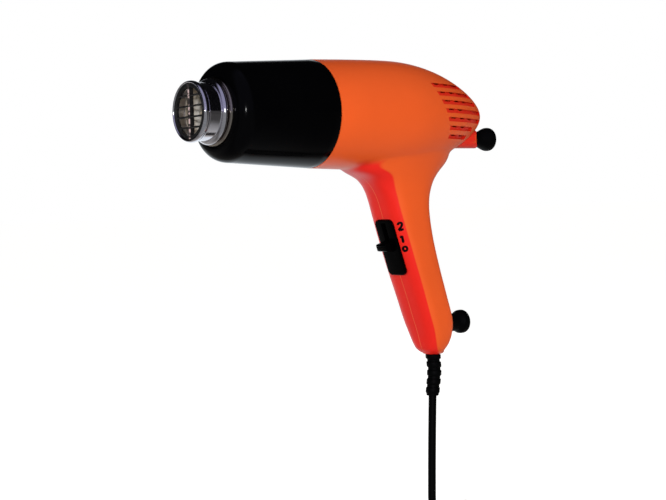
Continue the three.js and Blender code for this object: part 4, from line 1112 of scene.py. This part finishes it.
floor = add_object("floor", new_mesh(
    "floor", [(a * FLOOR_HALF, b * FLOOR_HALF, 0) for a, b in ((-1, -1), (1, -1), (1, 1), (-1, 1))],
    [(0, 1, 2, 3)]))
floor.location.z = model_z(FLOOR_Z)
floor_material, nt, bsdf = new_material("floor_white")
floor.data.materials.append(floor_material)
bsdf.inputs["Roughness"].default_value = 0.9
bsdf.inputs["Specular IOR Level"].default_value = 0.0
# The floor glows for the camera and glass, and in the gloss where it lies behind the tool or is pale
seen, gloss = ray_kinds(nt)
away = nt.nodes.new("ShaderNodeVectorMath")
away.operation = "NORMALIZE"
nt.links.new(nt.nodes.new("ShaderNodeNewGeometry").outputs["Position"], away.inputs[0])
behind = towards(nt, away.outputs[0], BEHIND_TOOL)
pale, straight = room_sides(nt, away.outputs[0])
behind_it = product(nt, rise(nt, behind, *BEHIND_FROM), straight)
far = product(nt, gloss, math_node(nt, "MAXIMUM", behind_it, product(nt, pale, PALE_SHARE)))
near = product(nt, gloss, fall(nt, behind, *NEAR_UNTIL))
nt.links.new(mix(nt, near, FLOOR_COLOR, FLOOR_IN_GLOSS), bsdf.inputs["Base Color"])
glow = nt.nodes.new("ShaderNodeEmission")
nt.links.new(product(nt, math_node(nt, "MAXIMUM", seen, far), FLOOR_GLOW), glow.inputs["Strength"])
nt.links.new(mix(nt, far, WHITE, GLOW_IN_GLOSS), glow.inputs["Color"])
both = nt.nodes.new("ShaderNodeAddShader")
nt.links.new(bsdf.outputs[0], both.inputs[0])
nt.links.new(glow.outputs[0], both.inputs[1])
nt.links.new(both.outputs[0], nt.nodes["Material Output"].inputs["Surface"])

world = bpy.data.worlds.new("world")
scene.world = world
world.use_nodes = True
nt = world.node_tree
seen, gloss = ray_kinds(nt)
direction = coordinates(nt, "Generated")
backdrop = ramp(nt, span(nt, towards(nt, direction, BEHIND_TOOL), 0, 1, -1, 1), [
    (0.0, DARK), (0.5, DARKEST), (0.93, DARK), (0.98, BRIGHT_BACK)])
pale, straight = room_sides(nt, direction)
backdrop = mix(nt, pale, mix(nt, straight, DARK, backdrop), PALE_SIDE)
light = mix(nt, gloss, AMBIENT, backdrop)
nt.links.new(mix(nt, seen, light, WHITE), nt.nodes["Background"].inputs["Color"])


def lamp(name, at, target, shape, size, power, glossy):
    data = bpy.data.lights.new(name, "AREA")
    data.shape = shape
    data.size = size
    data.energy = power
    ob = add_object(name, data)
    ob.location = at
    ob.rotation_mode = "QUATERNION"
    ob.rotation_quaternion = (target - at).to_track_quat("-Z", "Y")
    ob.visible_glossy = glossy


TOOL_MIDDLE = Vector((0.02, 0, 0.05))
SOFT_SIZE, FLASH_SIZE = 0.9, 0.05
# Soft lamps: place from the tool's middle in metres, watts
SOFT_LAMPS = {
    "key": ((0.45, 1.5, 0.35), 9),
    "fill": ((1.6, -0.2, 0.0), 8),
    "right_side": ((0.1, -1.6, 0.35), 8),
    "rear": ((-1.6, -0.5, 0.2), 4),
}
for name, (offset, power) in SOFT_LAMPS.items():
    lamp(name, TOOL_MIDDLE + Vector(offset), TOOL_MIDDLE, "SQUARE", SOFT_SIZE, power, False)
# A small lamp beside the lens, which shows in the gloss
FLASH_UP, FLASH_RIGHT, FLASH_POWER = 0.09, 0.02, 3
flash_place = CAMERA_PLACE + UPWARDS * FLASH_UP + TO_RIGHT * FLASH_RIGHT
lamp("flash", flash_place, place(60, 0, 0), "DISK", FLASH_SIZE, FLASH_POWER, True)
